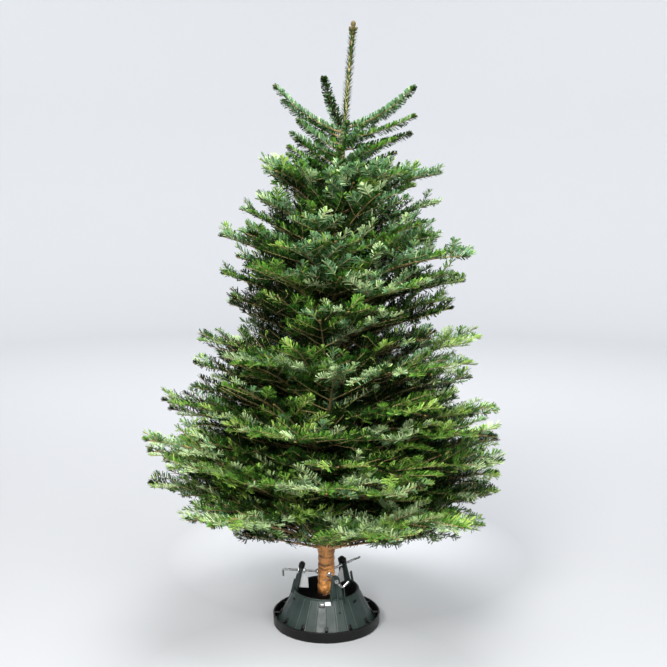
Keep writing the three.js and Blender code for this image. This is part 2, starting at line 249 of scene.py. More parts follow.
# fleck is the bark's own colour; crease is painted shade in creases, and the last colour is painted shade at
# the trunk's foot
barkShades = dict(fleck=(0.035, 0.018, 0.008, 1), crease=(0.050, 0.020, 0.007, 1),
                  footShade=(0.010, 0.006, 0.004, 1))


def barkMaterial(name, low, high, split, roughness, shadedFoot=None, inner=None):
    # bark that goes from one pair of colours to another over a height, with flecks and fibres; the trunk also
    # gets painted shade in creases, inside the crown and at its foot
    material, tree, shader = newMaterial(name, Specular_IOR_Level=0.45)
    height = heightIn(tree)
    patch = mask(tree, 28, 0.35, 0.35, 0.68)
    lower = mixed(tree, patch, (*low[0], 1), (*low[1], 1))
    upper = mixed(tree, patch, (*high[0], 1), (*high[1], 1))
    colour = mixed(tree, ranged(tree, height, start=split[0], end=split[1]), lower, upper)
    colour = mixed(tree, times(tree, mask(tree, 150, 0.5, 0.52, 0.72), 0.55), colour, barkShades["fleck"])
    if inner:
        # painted shade: darker creases across the stem, and a darker tone inside the crown where the crown's
        # shade falls
        colour = mixed(tree, times(tree, mask(tree, 11, 7.0, 0.49, 0.64), 0.80), colour, barkShades["crease"])
        inside = ranged(tree, height, start=inner["start"], end=inner["start"] + 0.07)
        above = ranged(tree, height, start=inner["end"], end=inner["end"] + 0.2)
        shaded = node(tree, "ShaderNodeMath", {0: inside, 1: above}, operation="SUBTRACT").outputs[0]
        colour = mixed(tree, shaded, colour, (*inner["colour"], 1))
    if shadedFoot:
        # painted shade at the foot, where the bowl shades the trunk; it ends in an uneven line
        uneven = {0: mask(tree, 60, 1.0, 0.2, 0.8), 1: 0.016, 2: height}
        edge = node(tree, "ShaderNodeMath", uneven, operation="MULTIPLY_ADD").outputs[0]
        colour = mixed(tree, ranged(tree, edge, start=shadedFoot[0], end=shadedFoot[1]), barkShades["footShade"], colour)
    tree.links.new(colour, shader.inputs["Base Color"])
    tree.links.new(ranged(tree, patch, roughness, roughness + 0.22), shader.inputs["Roughness"])
    bumped(tree, shader, mask(tree, 210, 0.8, 0.3, 0.7), 0.8, 0.0016)
    return material


def plasticMaterial(name, colour, worn, roughness, grain, gloss=0.38):
    material, tree, shader = newMaterial(name, Specular_IOR_Level=gloss)
    dust = mask(tree, 14, 1.0, 0.42, 0.75)
    tree.links.new(mixed(tree, dust, (*colour, 1), (*worn, 1)), shader.inputs["Base Color"])
    tree.links.new(ranged(tree, mask(tree, 45, 1.0), roughness, roughness + 0.14), shader.inputs["Roughness"])
    bumped(tree, shader, mask(tree, 1400, 1.0, 0.2, 0.8), grain, 0.0004)
    return material


def steelMaterial():
    material, tree, shader = newMaterial("zinc_steel", Metallic=1.0)
    tarnish = mask(tree, 90, 1.0, 0.4, 0.7)
    colour = mixed(tree, tarnish, (0.62, 0.63, 0.64, 1), (0.42, 0.42, 0.43, 1))
    tree.links.new(colour, shader.inputs["Base Color"])
    tree.links.new(ranged(tree, tarnish, 0.22, 0.42), shader.inputs["Roughness"])
    bumped(tree, shader, mask(tree, 700, 1.0), 0.12, 0.0003)
    return material


# tones go to sprays partly as painted light and shade: shade, the near black, is painted shade inside the
# crown; the lighter tones go to sprays painted as more lit
needleTones = {  # the base colour and roughness of each tone
    "shade": ((0.005, 0.019, 0.002), 0.45),
    "deep": ((0.026, 0.088, 0.010), 0.38),
    "mid": ((0.122, 0.286, 0.035), 0.38),
    "blue": ((0.156, 0.306, 0.142), 0.44),
    "fresh": ((0.340, 0.520, 0.100), 0.45),
    "pale": ((0.490, 0.630, 0.320), 0.52),
}
needleMaterials = {name: needleMaterial(name, *look) for name, look in needleTones.items()}
# low and high are pairs of colours that blotches mix; over the height of split the bark goes from low to high
barkLooks = {
    "trunk_bark": dict(
        low=[(0.84, 0.37, 0.105), (0.29, 0.115, 0.032)], high=[(0.66, 0.54, 0.31), (0.36, 0.29, 0.16)],
        # below a line from 0.112 to 0.134 m high the trunk's foot gets painted shade
        split=(0.9, 1.4), roughness=0.20, shadedFoot=(0.112, 0.134),
        # inner is painted shade on the trunk inside the crown, from its start to its end height
        inner=dict(colour=(0.075, 0.045, 0.022), start=0.30, end=1.22)),
    "bough_bark": dict(
        low=[(0.92, 0.56, 0.31), (0.58, 0.33, 0.16)], high=[(0.36, 0.26, 0.11), (0.19, 0.14, 0.06)],
        split=(0.32, 0.62), roughness=0.42),
    "twig_bark": dict(
        low=[(0.44, 0.33, 0.14), (0.22, 0.17, 0.07)], high=[(0.40, 0.32, 0.13), (0.20, 0.17, 0.07)],
        split=(0.6, 1.4), roughness=0.5),
    "leader_bark": dict(
        low=[(0.48, 0.45, 0.20), (0.32, 0.28, 0.10)], high=[(0.42, 0.29, 0.15), (0.24, 0.15, 0.06)],
        split=(1.74, 1.94), roughness=0.5),
    "leader_scales": dict(
        low=[(0.16, 0.13, 0.03), (0.06, 0.045, 0.012)], high=[(0.16, 0.13, 0.03), (0.06, 0.045, 0.012)],
        split=(0.6, 1.4), roughness=0.4),
    "bud_scales": dict(
        low=[(0.34, 0.20, 0.07), (0.18, 0.10, 0.03)], high=[(0.34, 0.24, 0.08), (0.18, 0.12, 0.04)],
        split=(0.6, 1.4), roughness=0.4),
}
barks = {name: barkMaterial(name, **look) for name, look in barkLooks.items()}
report("materials")


trunkShape = dict(foot=0.0483, fork=1.645, flareHeight=0.040, flare=0.003, lowRadius=0.0305, forkRadius=0.0085,
                  leanStart=0.700, leanTop=1.965, lean=0.087, leanPower=1.4)


def trunkAt(z):
    # the axis of the trunk: upright at first, then it leans by a power of the height
    z = np.asarray(z, dtype=float)
    share = np.maximum(0, (z - trunkShape["leanStart"]) / (trunkShape["leanTop"] - trunkShape["leanStart"]))
    return np.stack([trunkShape["lean"] * share ** trunkShape["leanPower"], 0 * z, z], axis=-1)


def trunkLean(z):
    # the angle of the axis from upright, from its places a little below and above
    step = 0.010
    return math.atan((trunkAt(z + step)[0] - trunkAt(z - step)[0]) / (2 * step))


def trunkRadius(z):
    # a taper by a power of the height, and a swell at the butt
    share = np.clip((z - trunkShape["foot"]) / (trunkShape["fork"] - trunkShape["foot"]), 0, 1)
    butt = np.maximum(0, 1 - (z - trunkShape["foot"]) / trunkShape["flareHeight"])
    taper = between(trunkShape["lowRadius"], trunkShape["forkRadius"], share ** 0.85)
    return taper + trunkShape["flare"] * butt


ringDefaults = dict(side=0.6, bare=0.0, lopsided=0.0, needle=0.0265, fine=1, tilt=(-0.28, 0.50), spread=120,
                    raised=0.13)


def ring(height, count, first, length, rise, years, **changes):
    # rise is the slope in degrees at the trunk and at the tip, years the number of yearly nodes
    own = dict(height=height, count=count, first=first, length=length, rise=rise, years=years)
    return {**ringDefaults, **own, **changes}


rising, upright, level = (-0.15, 0.80), (0.05, 0.90), (-0.12, 0.45)
whorls = {  # the whorls of the source, in its order
    "low": ring(0.262, 5, 3, 0.605, (32, 10), 6, bare=0.42, tilt=level),
    "lower_middle": ring(0.400, 4, 2, 0.650, (32, 7), 5, lopsided=0.01),
    "middle": ring(0.524, 5, 188, 0.630, (37, 8), 5, bare=0.3, lopsided=0.05),
    "upper_middle": ring(0.753, 5, 22, 0.565, (38, 5), 4, lopsided=0.11),
    "inner": ring(0.925, 5, 206, 0.410, (42, 12), 4, lopsided=0.08, tilt=rising),
    "upper": ring(1.090, 5, 180, 0.475, (42, 10), 4, lopsided=0.12, tilt=rising),
    "high": ring(1.353, 5, 12, 0.345, (44, 14), 4, lopsided=0.05, tilt=upright),
    "brush": ring(1.560, 4, 10, 0.215, (14, 34), 1, lopsided=0.14, needle=0.0200, fine=0, spread=178),
    "top": ring(1.628, 5, 180, 0.288, (11, 44), 1, lopsided=0.07, needle=0.0195, fine=0, spread=178),
}
smaller = {  # the boughs between the whorls, inside the crown and low on the sides
    "gap_1": ring(0.266, 5, 40, 0.42, (24, 10), 4, bare=0.38, tilt=level),
    "gap_2": ring(0.300, 6, 2, 0.565, (26, 6), 5, bare=0.25, lopsided=0.03, tilt=level),
    "gap_3": ring(0.350, 6, -10, 0.590, (28, 6), 5, bare=0.2, lopsided=0.03),
    "gap_4": ring(0.440, 6, 32, 0.62, (30, 8), 5),
    "gap_5": ring(0.540, 6, 2, 0.57, (32, 10), 4),
    "gap_6": ring(0.620, 6, 30, 0.49, (32, 12), 4, lopsided=0.05),
    "gap_7": ring(0.700, 6, 0, 0.50, (30, 10), 4, lopsided=0.05),
    "gap_8": ring(0.820, 6, 28, 0.40, (36, 14), 4, lopsided=0.08, tilt=rising),
    "gap_9": ring(0.900, 6, 0, 0.41, (36, 14), 4, lopsided=0.04, tilt=rising),
    "gap_10": ring(1.005, 6, 4, 0.45, (36, 12), 4, lopsided=0.06, tilt=rising),
    "gap_11": ring(1.120, 6, 34, 0.39, (42, 20), 4, tilt=rising),
    "gap_12": ring(1.190, 5, 184, 0.38, (40, 20), 3, tilt=rising),
    "gap_13": ring(1.250, 5, 4, 0.365, (42, 20), 3, lopsided=0.08, tilt=rising),
    "gap_14": ring(1.310, 5, 210, 0.30, (44, 28), 3, tilt=rising),
    "gap_15": ring(1.385, 5, 80, 0.22, (40, 28), 2, fine=0, tilt=upright),
    "slim_1": ring(1.435, 5, 20, 0.21, (32, 26), 1, needle=0.0215, fine=0, spread=165),
    "slim_2": ring(1.484, 5, 56, 0.20, (22, 30), 1, needle=0.0210, fine=0, spread=170),
    "slim_3": ring(1.523, 4, 35, 0.20, (16, 30), 1, needle=0.0205, fine=0, spread=174),
    "slim_4": ring(1.585, 3, 50, 0.17, (14, 36), 1, needle=0.0200, fine=0, spread=178),
    "slim_5": ring(1.600, 2, 2, 0.245, (12, 36), 1, needle=0.0195, fine=0, spread=178),
    "slim_6": ring(1.538, 2, 184, 0.20, (16, 30), 1, needle=0.0200, fine=0, spread=178),
    "inside_1": ring(0.335, 7, 20, 0.25, (42, 26), 3),
    "inside_2": ring(0.430, 5, 50, 0.24, (36, 20), 3),
    "side_1": ring(0.368, 3, -6, 0.595, (28, 6), 5, lopsided=0.02),
    "side_2": ring(0.470, 3, -29, 0.575, (26, 8), 5, lopsided=0.09),
    "side_8": ring(0.738, 3, 10, 0.51, (27, 8), 4, lopsided=0.04),
    "side_9": ring(0.345, 3, 190, 0.605, (25, 8), 5, bare=0.2),
    "gap_16": ring(1.060, 5, -10, 0.405, (37, 12), 3, lopsided=0.08, tilt=rising),
    "side_3": ring(0.630, 3, 186, 0.46, (32, 10), 4),
    "stem_1": ring(0.256, 8, 20, 0.33, (26, 10), 3, bare=0.45, tilt=level),
    "stem_2": ring(0.276, 7, 43, 0.34, (30, 14), 3, bare=0.45, tilt=level),
    "stem_3": ring(0.262, 7, 252, 0.27, (42, 30), 3, bare=0.34, tilt=level, raised=0.0),
    "fork": ring(0.250, 9, 214, 0.21, (58, 36), 3, bare=0.55, tilt=level, raised=0.0),
    "fan_1": ring(0.300, 4, 226, 0.60, (46, 26), 5, bare=0.35, tilt=level, raised=0.0),
    "fan_2": ring(0.470, 3, 252, 0.56, (48, 24), 5, bare=0.25, tilt=level),
    "hem": ring(0.256, 9, 10, 0.34, (7, 3), 3, side=0.40, bare=0.42, tilt=level, raised=0.33),
    "stem_4": ring(0.256, 6, 276, 0.27, (26, 18), 3, bare=0.24, tilt=level, raised=0.0),
    "side_4": ring(0.590, 3, 4, 0.53, (26, 8), 4, lopsided=0.09),
    "side_5": ring(0.430, 2, 198, 0.660, (29, 11), 5, side=0.45),
    "side_6": ring(0.300, 3, -8, 0.535, (13, 2), 4, bare=0.30, lopsided=0.05, tilt=level, raised=0.30),
    "side_7": ring(0.275, 3, 4, 0.44, (8, 2), 4, bare=0.35, lopsided=0.04, tilt=level, raised=0.36),
    "inside_8": ring(0.370, 4, 35, 0.27, (40, 24), 3, fine=0),
    "inside_9": ring(0.500, 5, 68, 0.28, (40, 24), 3, fine=0),
    "inside_10": ring(0.680, 5, 58, 0.28, (40, 24), 3, fine=0),
    "inside_3": ring(0.590, 5, 10, 0.24, (38, 20), 3),
    "inside_4": ring(0.760, 5, 40, 0.20, (38, 20), 3),
    "inside_5": ring(0.900, 5, 10, 0.19, (40, 20), 2),
    "inside_6": ring(1.060, 5, 50, 0.18, (40, 20), 2),
    "inside_7": ring(1.230, 5, 20, 0.16, (42, 24), 2),
}
rings = [*whorls.values(), *smaller.values()]


boughRule = dict(sway=0.16, lengths=(0.95, 1.05), offHeight=0.020, offSlope=6, sag=0.5, wedge=0.97,
                 margin=0.018)
lowBoughs = dict(below=0.32, steep=0.2, bare=0.62, bareGain=1.4, forkAzimuth=math.radians(248), fork=0.26)
middleBoughs = dict(below=1.0, lifts=(0.30, -0.24, 0.10))
boxLow, boxHigh = np.array(cadLow) + boughRule["margin"], np.array(cadHigh) - boughRule["margin"]


def boughOf(row, index, own):
    # one bough of a ring: its slope changes evenly from the trunk to the tip
    azimuth = own["first"] + (360 / own["count"]) * (index + boughRule["sway"] * (roll(row, index, 1) - 0.5))
    turn = math.radians(azimuth)
    length = own["length"] * (1 + own["lopsided"] * math.cos(turn))
    length = length * between(*boughRule["lengths"], roll(row, index, 2))
    low, high = (math.radians(r) for r in own["rise"])
    height = own["height"] + boughRule["offHeight"] * (roll(row, index, 4) - 0.5)
    droop = trunkLean(height) + boughRule["sag"] * own["lopsided"]
    lift = math.radians(boughRule["offSlope"] * (roll(row, index, 3) - 0.5)) - droop * math.cos(turn)
    bare, raised, small = own["bare"], own["raised"], row >= len(whorls)
    if small and own["height"] < lowBoughs["below"]:
        # the lowest of the smaller boughs stand higher and barer on one side, most of all at an open fork
        front = max(0.0, -math.sin(turn))
        lift += raised * front ** (1.0 if raised > lowBoughs["steep"] else 3)
        if raised:
            lift += lowBoughs["fork"] * max(0.0, math.cos(turn - lowBoughs["forkAzimuth"])) ** 6
            bare = max(bare, lowBoughs["bare"] * min(1, lowBoughs["bareGain"] * front ** 3))
    elif small and own["height"] < middleBoughs["below"]:
        # before and behind the trunk some boughs show their faces: they stand steeper or hang
        lift += middleBoughs["lifts"][int(3 * roll(row, index, 5))] * math.sin(turn) ** 2
    root, out = trunkAt(height), np.array([math.cos(turn), math.sin(turn), 0.0])
    if small:
        # a smaller bough ends inside the box of the whole tree
        run = (math.sin(high + lift) - math.sin(low + lift)) / (high - low)
        for axis in (0, 1):
            room = (cadHigh[axis] if out[axis] > 0 else -cadLow[axis]) - boughRule["margin"]
            length = min(length, room / max(0.05, abs(out[axis])) / run)
    return dict(row=row, index=index, azimuth=turn, length=length, low=low + lift, bend=high - low,
                years=own["years"], share=own["side"], bare=bare,
                wedge=math.pi / own["count"] * boughRule["wedge"],
                needle=own["needle"], fine=own["fine"], tiltLow=own["tilt"][0], tiltHigh=own["tilt"][1],
                spread=math.radians(own["spread"]), root=root, out=out,
                side=np.array([-math.sin(turn), math.cos(turn), 0.0]))


rows = [boughOf(row, index, own) for row, own in enumerate(rings) for index in range(own["count"])]
boughs = {key: np.array([one[key] for one in rows]) for key in rows[0]}
boughs["bough"] = np.arange(len(rows))
boughs["spray"] = np.arange(len(rows)) + 500000  # far from the numbers of the shoots' sprays
zAxis = np.array([0.0, 0.0, 1.0])


def alongBough(b, s):
    # reach and rise are the integrals of the slope's cosine and sine
    low, bend, length = (b[key][:, None] for key in ("low", "bend", "length"))
    slope = low + bend * s
    reach = length * (np.sin(slope) - np.sin(low)) / bend
    rise = length * (np.cos(low) - np.cos(slope)) / bend
    along = b["out"][:, None] * np.cos(slope)[..., None] + zAxis * np.sin(slope)[..., None]
    point = b["root"][:, None] + b["out"][:, None] * reach[..., None] + zAxis * rise[..., None]
    side = np.broadcast_to(b["side"][:, None], along.shape)
    return point, along, side, np.cross(along, side)


def boughRadius(length, s):
    # a share of the length at the trunk, tapering by a power of s to the tip
    return between(0.0125 * length, 0.0036 * length, s ** 0.7)


shootShape = dict(angle=48, jitter=10, flatTilt=0.12, least=(0.030, 0.026), later=0.55, curl=0.35, turn=12,
                  loose=26, band=0.075, hang=0.022, hangBelow=0.31, weak=0.82, shortest=0.042, slack=1.15,
                  shares=(1, 0.72, 0.5, 0.34), small=0.13, lifts=(-0.02, 0.10), lengths=(0.85, 1.12),
                  bareShare=0.9, firstAt=0.02)


def alongShoot(g, s):
    # origin + start*L*s + stem*L*curl*s*s/2, lifted a little with s*s
    s3, size = s[..., None], g["length"][:, None, None]
    start, stem, sky = (g[key][:, None] for key in ("start", "stem", "sky"))
    curl, lift = shootShape["curl"], g["lift"][:, None, None]
    point = g["origin"][:, None] + size * (start * s3 + stem * curl * s3 * s3 / 2 + sky * lift * s3 * s3)
    along = unit(start + stem * curl * s3 + sky * 2 * lift * s3)
    flat = unit(np.cross(np.broadcast_to(sky, along.shape), along))
    up = np.cross(along, flat)
    turn = g["turn"][:, None, None]
    side = flat * np.cos(turn) + up * np.sin(turn)
    return point, along, side, np.cross(along, side)


def keptToSpace(g):
    # shortened until its tip is inside its bough's wedge, height band and the box, or dropped
    home, rule = pick(boughs, g["bough"]), shootShape
    size, done = g["length"].copy(), np.zeros(len(g["length"]), bool)
    for share in rule["shares"]:
        trial = dict(g, length=g["length"] * share)
        tip = alongShoot(trial, np.ones((len(size), 1)))[0][:, 0]
        off = tip - home["root"]
        turned = np.abs(wrapped(np.arctan2(off[:, 1], off[:, 0]) - home["azimuth"]))
        reached = np.minimum(1, np.hypot(off[:, 0], off[:, 1]) / home["length"])
        level = alongBough(home, reached[:, None])[0][:, 0, 2]
        room = home["wedge"] * np.where(trial["length"] < rule["small"], rule["slack"], 1)
        below = np.where(home["root"][:, 2] < rule["hangBelow"], rule["hang"], rule["band"])
        fits = (turned < room) & (tip[:, 2] - level < rule["band"]) & (level - tip[:, 2] < below) & ~done
        fits &= ((tip[:, :2] > boxLow[:2]) & (tip[:, :2] < boxHigh[:2])).all(-1)
        size[fits] = trial["length"][fits]
        done |= fits
    return pick(dict(g, length=size), done & (size > rule["shortest"]))


def branched(parents, framesAt, order):
    # a pair of shoots at each yearly node, and on the first orders a weaker pair between nodes
    made, rule = [], shootShape
    for years in range(2, int(parents["years"].max()) + 1):
        mine = pick(parents, parents["years"] == years)
        if not len(mine["length"]):
            continue
        slots = [(j / years, years - j, 1.0, j) for j in range(1, years)]
        slots += [((j + 0.5) / years, max(1, years - j - 1), rule["weak"], -1 - j) for j in range(years)]
        place, age, factor, number = (np.array(column, dtype=float) for column in zip(*slots))
        n, k = len(mine["length"]), len(slots)
        count = n * k
        point, along, side, up = framesAt(mine, np.broadcast_to(place, (n, k)))
        share = mine["share"][:, None] if order == 1 else rule["later"]
        size = (mine["length"][:, None] * (1 - place) * share + rule["least"][min(order, 2) - 1]) * factor
        # the ruled ones follow the source, the others the dice
        ruled = (order == 1) & (number > 0) & np.ones((n, k), bool)
        weak = (number < 0) | (order > 1)
        for hand in (1, -1):
            who = (10 * mine["row"] + mine["index"])[:, None] + np.zeros((n, k))
            dice = [np.where(ruled, roll(who, number + np.zeros((n, k)), hand + step), rng.random((n, k)))
                    for step in (0, 0.5, 0.7)]
            angle = np.radians(rule["angle"] + rule["jitter"] * (dice[0] - 0.5))[..., None]
            tilt = between(mine["tiltLow"][:, None], mine["tiltHigh"][:, None], rng.random((n, k)))
            tilt = np.where(weak, tilt, rule["flatTilt"] * (dice[1] - 0.3))[..., None]
            start = along * np.cos(angle) + side * hand * np.sin(angle) + up * tilt
            keep = place >= (mine["bare"] * rule["bareShare"] + rule["firstAt"])[:, None]
            keep = keep & ((number > 0) | (mine["fine"][:, None] >= order))
            spray = n * 977 * order + np.arange(count) * 2 + (hand > 0)
            group = dict(
                origin=point.reshape(-1, 3),
                start=np.where(weak[..., None], unit(start), start).reshape(-1, 3),
                stem=along.reshape(-1, 3), sky=up.reshape(-1, 3),
                turn=np.radians(np.where(weak, rule["loose"], rule["turn"]) * 2 * (dice[2] - 0.5)).ravel(),
                lift=np.where(ruled, 0.0, rng.uniform(*rule["lifts"], (n, k))).ravel(),
                length=(size * np.where(ruled, 1.0, rng.uniform(*rule["lengths"], (n, k)))).ravel(),
                years=np.broadcast_to(age, (n, k)).astype(int).ravel(),
                spray=spray if order == 1 else np.repeat(mine["spray"], k),
                bare=np.zeros(count), order=np.full(count, order),
                **{key: np.repeat(mine[key], k) for key in
                   ("bough", "row", "index", "needle", "fine", "tiltLow", "tiltHigh", "spread")},
            )
            made.append(pick(group, keep.ravel()))
    return keptToSpace(joined(made)) if made else None


levels = [branched(boughs, alongBough, 1)]
while len(levels) < 3 and levels[-1] is not None and (levels[-1]["years"] > 1).any():
    nextLevel = branched(levels[-1], alongShoot, len(levels) + 1)
    if nextLevel is None or not len(nextLevel["length"]):
        break
    levels.append(nextLevel)
shoots = joined(levels)
report("shoots", [len(level["length"]) for level in levels])
report("metres of shoots", round(float(shoots["length"].sum() + boughs["length"].sum()), 1))

# the most needles a metre, the corners' widths, how they comb to the sides, their leans in degrees, and sizes
needleShape = dict(perMetre=840, inside=0.38, outside=1.08, roundFrom=2.2, roundGain=1.9,
                   half=0.00180, halves=(0.85, 1.15), wideFrom=0.8, wideOver=0.5, wider=0.32, atBase=0.6,
                   atEnd=0.8, comb=0.55, combTurn=1.40, combSpread=0.30, flatBelow=2.6, twist=0.45,
                   flatLean=60, topLean=44, roundLean=62, tipLean=32, offLean=0.09, offView=0.16,
                   forward=0.3, rise=0.04, tipZone=0.018, tipShare=0.12, tipSize=0.82, yearly=(0.74, 0.28),
                   sizes=(0.88, 1.08), under=(0.70, 0.92), underFrom=1.7, selfShadeTo=0.22, selfShadeOver=0.12)
toneNames = list(needleTones)
toneNumber = {name: number for number, name in enumerate(toneNames)}

# the crown's outline: its reach from the trunk at each height
crownShape = dict(
    height=(0.22, 0.30, 0.38, 0.50, 0.60, 0.72, 0.80, 0.92, 1.00, 1.12, 1.26, 1.34, 1.42, 1.50, 1.62, 1.80),
    reach=(0.26, 0.42, 0.54, 0.60, 0.63, 0.58, 0.48, 0.48, 0.41, 0.39, 0.42, 0.33, 0.28, 0.20, 0.24, 0.28))


def outerness(group):
    # 0 at the trunk and 1 at the end of the bough, and 0 at the trunk and 1 at the outside of the crown
    home = pick(boughs, group["bough"])
    framesAt = alongShoot if "origin" in group else alongBough
    tip = framesAt(group, np.full((len(group["length"]), 1), 0.7))[0][:, 0]
    off = tip - home["root"]
    own = np.clip(np.hypot(off[:, 0], off[:, 1]) / home["length"], 0, 1)
    outside = np.interp(tip[:, 2], crownShape["height"], crownShape["reach"])
    crown = np.hypot(tip[:, 0] - trunkAt(tip[:, 2])[:, 0], tip[:, 1]) / outside
    return own, tip, np.clip(crown, 0, 1.1)


# How lit a spray is painted: painted light at the outside of the crown and painted shade inside it, from shares
# of its place in the crown and on its bough, of its own and its bough's number, and noise. bands are height,
# half height and depth of bands of painted shadow under the whorls above (a negative depth paints a lighter
# band); front, sides and right paint light on the front of the lower crown and shade on its sides and its
# right. The limits of each tone are one value low in the crown and one high up.
toneRule = dict(crown=0.62, own=0.22, spray=0.28, bough=0.20, noise=0.05, roundFrom=2.8, roundLit=(0.53, 0.05),
                bands=((1.08, 0.07, 0.10), (0.80, 0.05, 0.08), (1.27, 0.08, -0.07)),
                highFrom=0.75, highOver=0.6, front=0.07, sides=0.06, right=0.07, bright=0.585,
                pale=(0.44, 0.15), fresh=(0.80, 0.975), blueFrom=0.5, blue=(0.14, 0.70), deep=(0.56, 0.54),
                shade=(0.435, 0.41))


def tonesOf(group):
    # each spray takes one tone: near black painted shade inside the crown, pale or fresh at its outside where
    # light is painted, bluer higher up
    own, tip, crown = outerness(group)
    count, rule = len(own), toneRule
    first, second = (roll(group["spray"], group["bough"], step) for step in (0.3, 0.8))
    lit = rule["crown"] * crown + rule["own"] * own + rule["spray"] * (first - 0.5)
    lit = lit + rng.normal(0, rule["noise"], count)
    lit = lit + rule["bough"] * (roll(group["row"], group["index"], 9) - 0.5)
    roundLit = rule["roundLit"][0] + rule["roundLit"][1] * second
    lit = np.where(group["spread"] > rule["roundFrom"], roundLit, lit)
    for height, half, depth in rule["bands"]:
        lit = lit - depth * fallOff((tip[:, 2] - height) / half)
    high = np.clip((tip[:, 2] - rule["highFrom"]) / rule["highOver"], 0, 1)
    # painted light on the front of the lower crown, painted shade on its sides and its right
    bearing = tip[:, :2] / np.maximum(0.02, np.linalg.norm(tip[:, :2], axis=-1, keepdims=True))
    right = np.clip(bearing[:, 0], 0, 1) ** 2
    paintedSideLight = rule["front"] * np.clip(-bearing[:, 1], 0, 1) - rule["sides"] * bearing[:, 0] ** 4
    lit = lit + (1 - high) * (paintedSideLight - rule["right"] * right)
    tone = np.full(count, toneNumber["mid"])
    tone[(lit > rule["bright"]) & (second < between(*rule["pale"], high))] = toneNumber["pale"]
    tone[(lit > rule["bright"]) & (second > between(*rule["fresh"], high))] = toneNumber["fresh"]
    chosen = rng.random(count) < between(*rule["blue"], high)
    tone[chosen & (lit > rule["blueFrom"]) & (tone == toneNumber["mid"])] = toneNumber["blue"]
    for name in ("deep", "shade"):
        tone[lit < between(*rule[name], high)] = toneNumber[name]
    return tone


def needlesAlong(group, framesAt, density, radiusOf, bareTo):
    # needles round every shoot of a group, as arrays of four corners each; up to bareTo a shoot has none
    shape = needleShape
    count = np.maximum(4, (group["length"] * (1 - bareTo) * density).astype(int))
    who = np.repeat(np.arange(len(count)), count)
    rank = np.arange(len(who)) - np.repeat(np.cumsum(count) - count, count)
    total = len(who)
    s = bareTo[who] + (1 - bareTo[who]) * (rank + rng.random(total)) / count[who]
    mine = pick(group, who)
    flatSpray = mine["spread"] < shape["flatBelow"]
    zone = shape["tipZone"] / mine["length"]
    s = np.where(rng.random(total) < shape["tipShare"], 1 - 0.7 * zone * rng.random(total), s)
    point, along, side, up = (v[:, 0] for v in framesAt(mine, s[:, None]))
    dice = rng.uniform(-1, 1, total)
    combed = (rng.random(total) < shape["comb"]) & flatSpray
    toSides = np.sign(dice) * (shape["combTurn"] + shape["combSpread"] * rng.normal(size=total))
    around = np.where(combed, toSides, mine["spread"] * dice)
    turned = np.abs(around)
    toTip = np.clip((s - 1 + zone) / zone, 0, 1)
    lean = np.radians(between(shape["topLean"], shape["flatLean"], np.minimum(1, turned / 1.8)))
    lean = between(lean, math.radians(shape["roundLean"]), np.clip((mine["spread"] - 2.5) / 0.5, 0, 1))
    lean = between(lean, math.radians(shape["tipLean"]), toTip) + rng.normal(0, shape["offLean"], total)
    radial = side * np.sin(around)[:, None] + up * np.cos(around)[:, None]
    direction = unit(along * np.cos(lean)[:, None] + radial * np.sin(lean)[:, None])
    view = up + shape["forward"] * along + rng.normal(0, shape["offView"], (total, 3))
    face = unit(view - direction * (view * direction).sum(-1, keepdims=True))
    flat = np.cross(direction, face)
    year = (s * mine["years"]) % 1
    size = mine["needle"] * (shape["yearly"][0] + shape["yearly"][1] * np.sin(np.pi * year) ** 0.6)
    size = size * rng.uniform(*shape["sizes"], total)
    # shorter on top of the shoot, at its tip and under it
    size = size * np.interp(turned, [0, 0.5, 1.2, 1.7], [0.84, 0.86, 1, 1])
    size = size * between(1, shape["tipSize"], toTip)
    under = between(*shape["under"], np.clip(mine["spread"] - 2.1, 0, 1))
    size = size * between(1, under, np.clip((turned - shape["underFrom"]) / 0.5, 0, 1))
    wider = np.clip((point[:, 2] - shape["wideFrom"]) / shape["wideOver"], 0, 1)
    half = shape["half"] * rng.uniform(*shape["halves"], total) * (1 + shape["wider"] * wider)
    twist = rng.uniform(-1, 1, total)[:, None] * shape["twist"]
    twisted = flat * np.cos(twist) + face * np.sin(twist)
    base = point + radial * (radiusOf(mine, s) * 0.7)[:, None]
    end = base + direction * size[:, None] + face * (shape["rise"] * size)[:, None]
    atBase, atEnd = flat * (half * shape["atBase"])[:, None], twisted * (half * shape["atEnd"])[:, None]
    corners = np.stack([base - atBase, base + atBase, end + atEnd, end - atEnd], axis=1)
    # painted shade: needles near a shoot's base and under it are marked for a darker tone
    selfShade = (s < shape["selfShadeTo"] + shape["selfShadeOver"] * rng.random(total)) & flatSpray | (turned > 1.75)
    return corners, who, selfShade, toTip * (mine["years"] == 1) > 0.3


def shootRadius(group, s):
    # a least radius and a share of the length, more on old shoots, tapering by a power of s
    own = 0.0009 + 0.0048 * group["length"]
    return between(own * (1 + 0.2 * group["years"]), 0.0009, s ** 0.8)


def thickness(group):
    # needles per metre: fewer on old wood in the dark of the crown
    own, _, crown = outerness(group)
    share = between(needleShape["inside"], needleShape["outside"], 0.5 * own + 0.5 * crown)
    more = needleShape["roundGain"] * np.clip(group["spread"] - needleShape["roundFrom"], 0, 1)
    return needleShape["perMetre"] * share * (1 + more)


def boughRadiusOf(group, s):
    return boughRadius(group["length"], s)


dressing = dict(boughTip=0.018, denser=1.1, afterBare=0.12, old=0.30, young=0.07, firstOrder=0.10, later=0.06,
                fresh=(0.22, 0.04), darker=0.15, lighter=0.93)
boughAxis = dict(boughs, length=boughs["length"] - dressing["boughTip"])
clad = np.where(boughs["years"] > 2, dressing["old"], dressing["young"])
clad = np.maximum(boughs["bare"] + dressing["afterBare"], clad)
onBoughs = needlesAlong(boughAxis, alongBough, thickness(boughAxis) * dressing["denser"], boughRadiusOf, clad)
start = np.where(shoots["order"] == 1, dressing["firstOrder"], dressing["later"])
onShoots = needlesAlong(shoots, alongShoot, thickness(shoots), shootRadius, start)

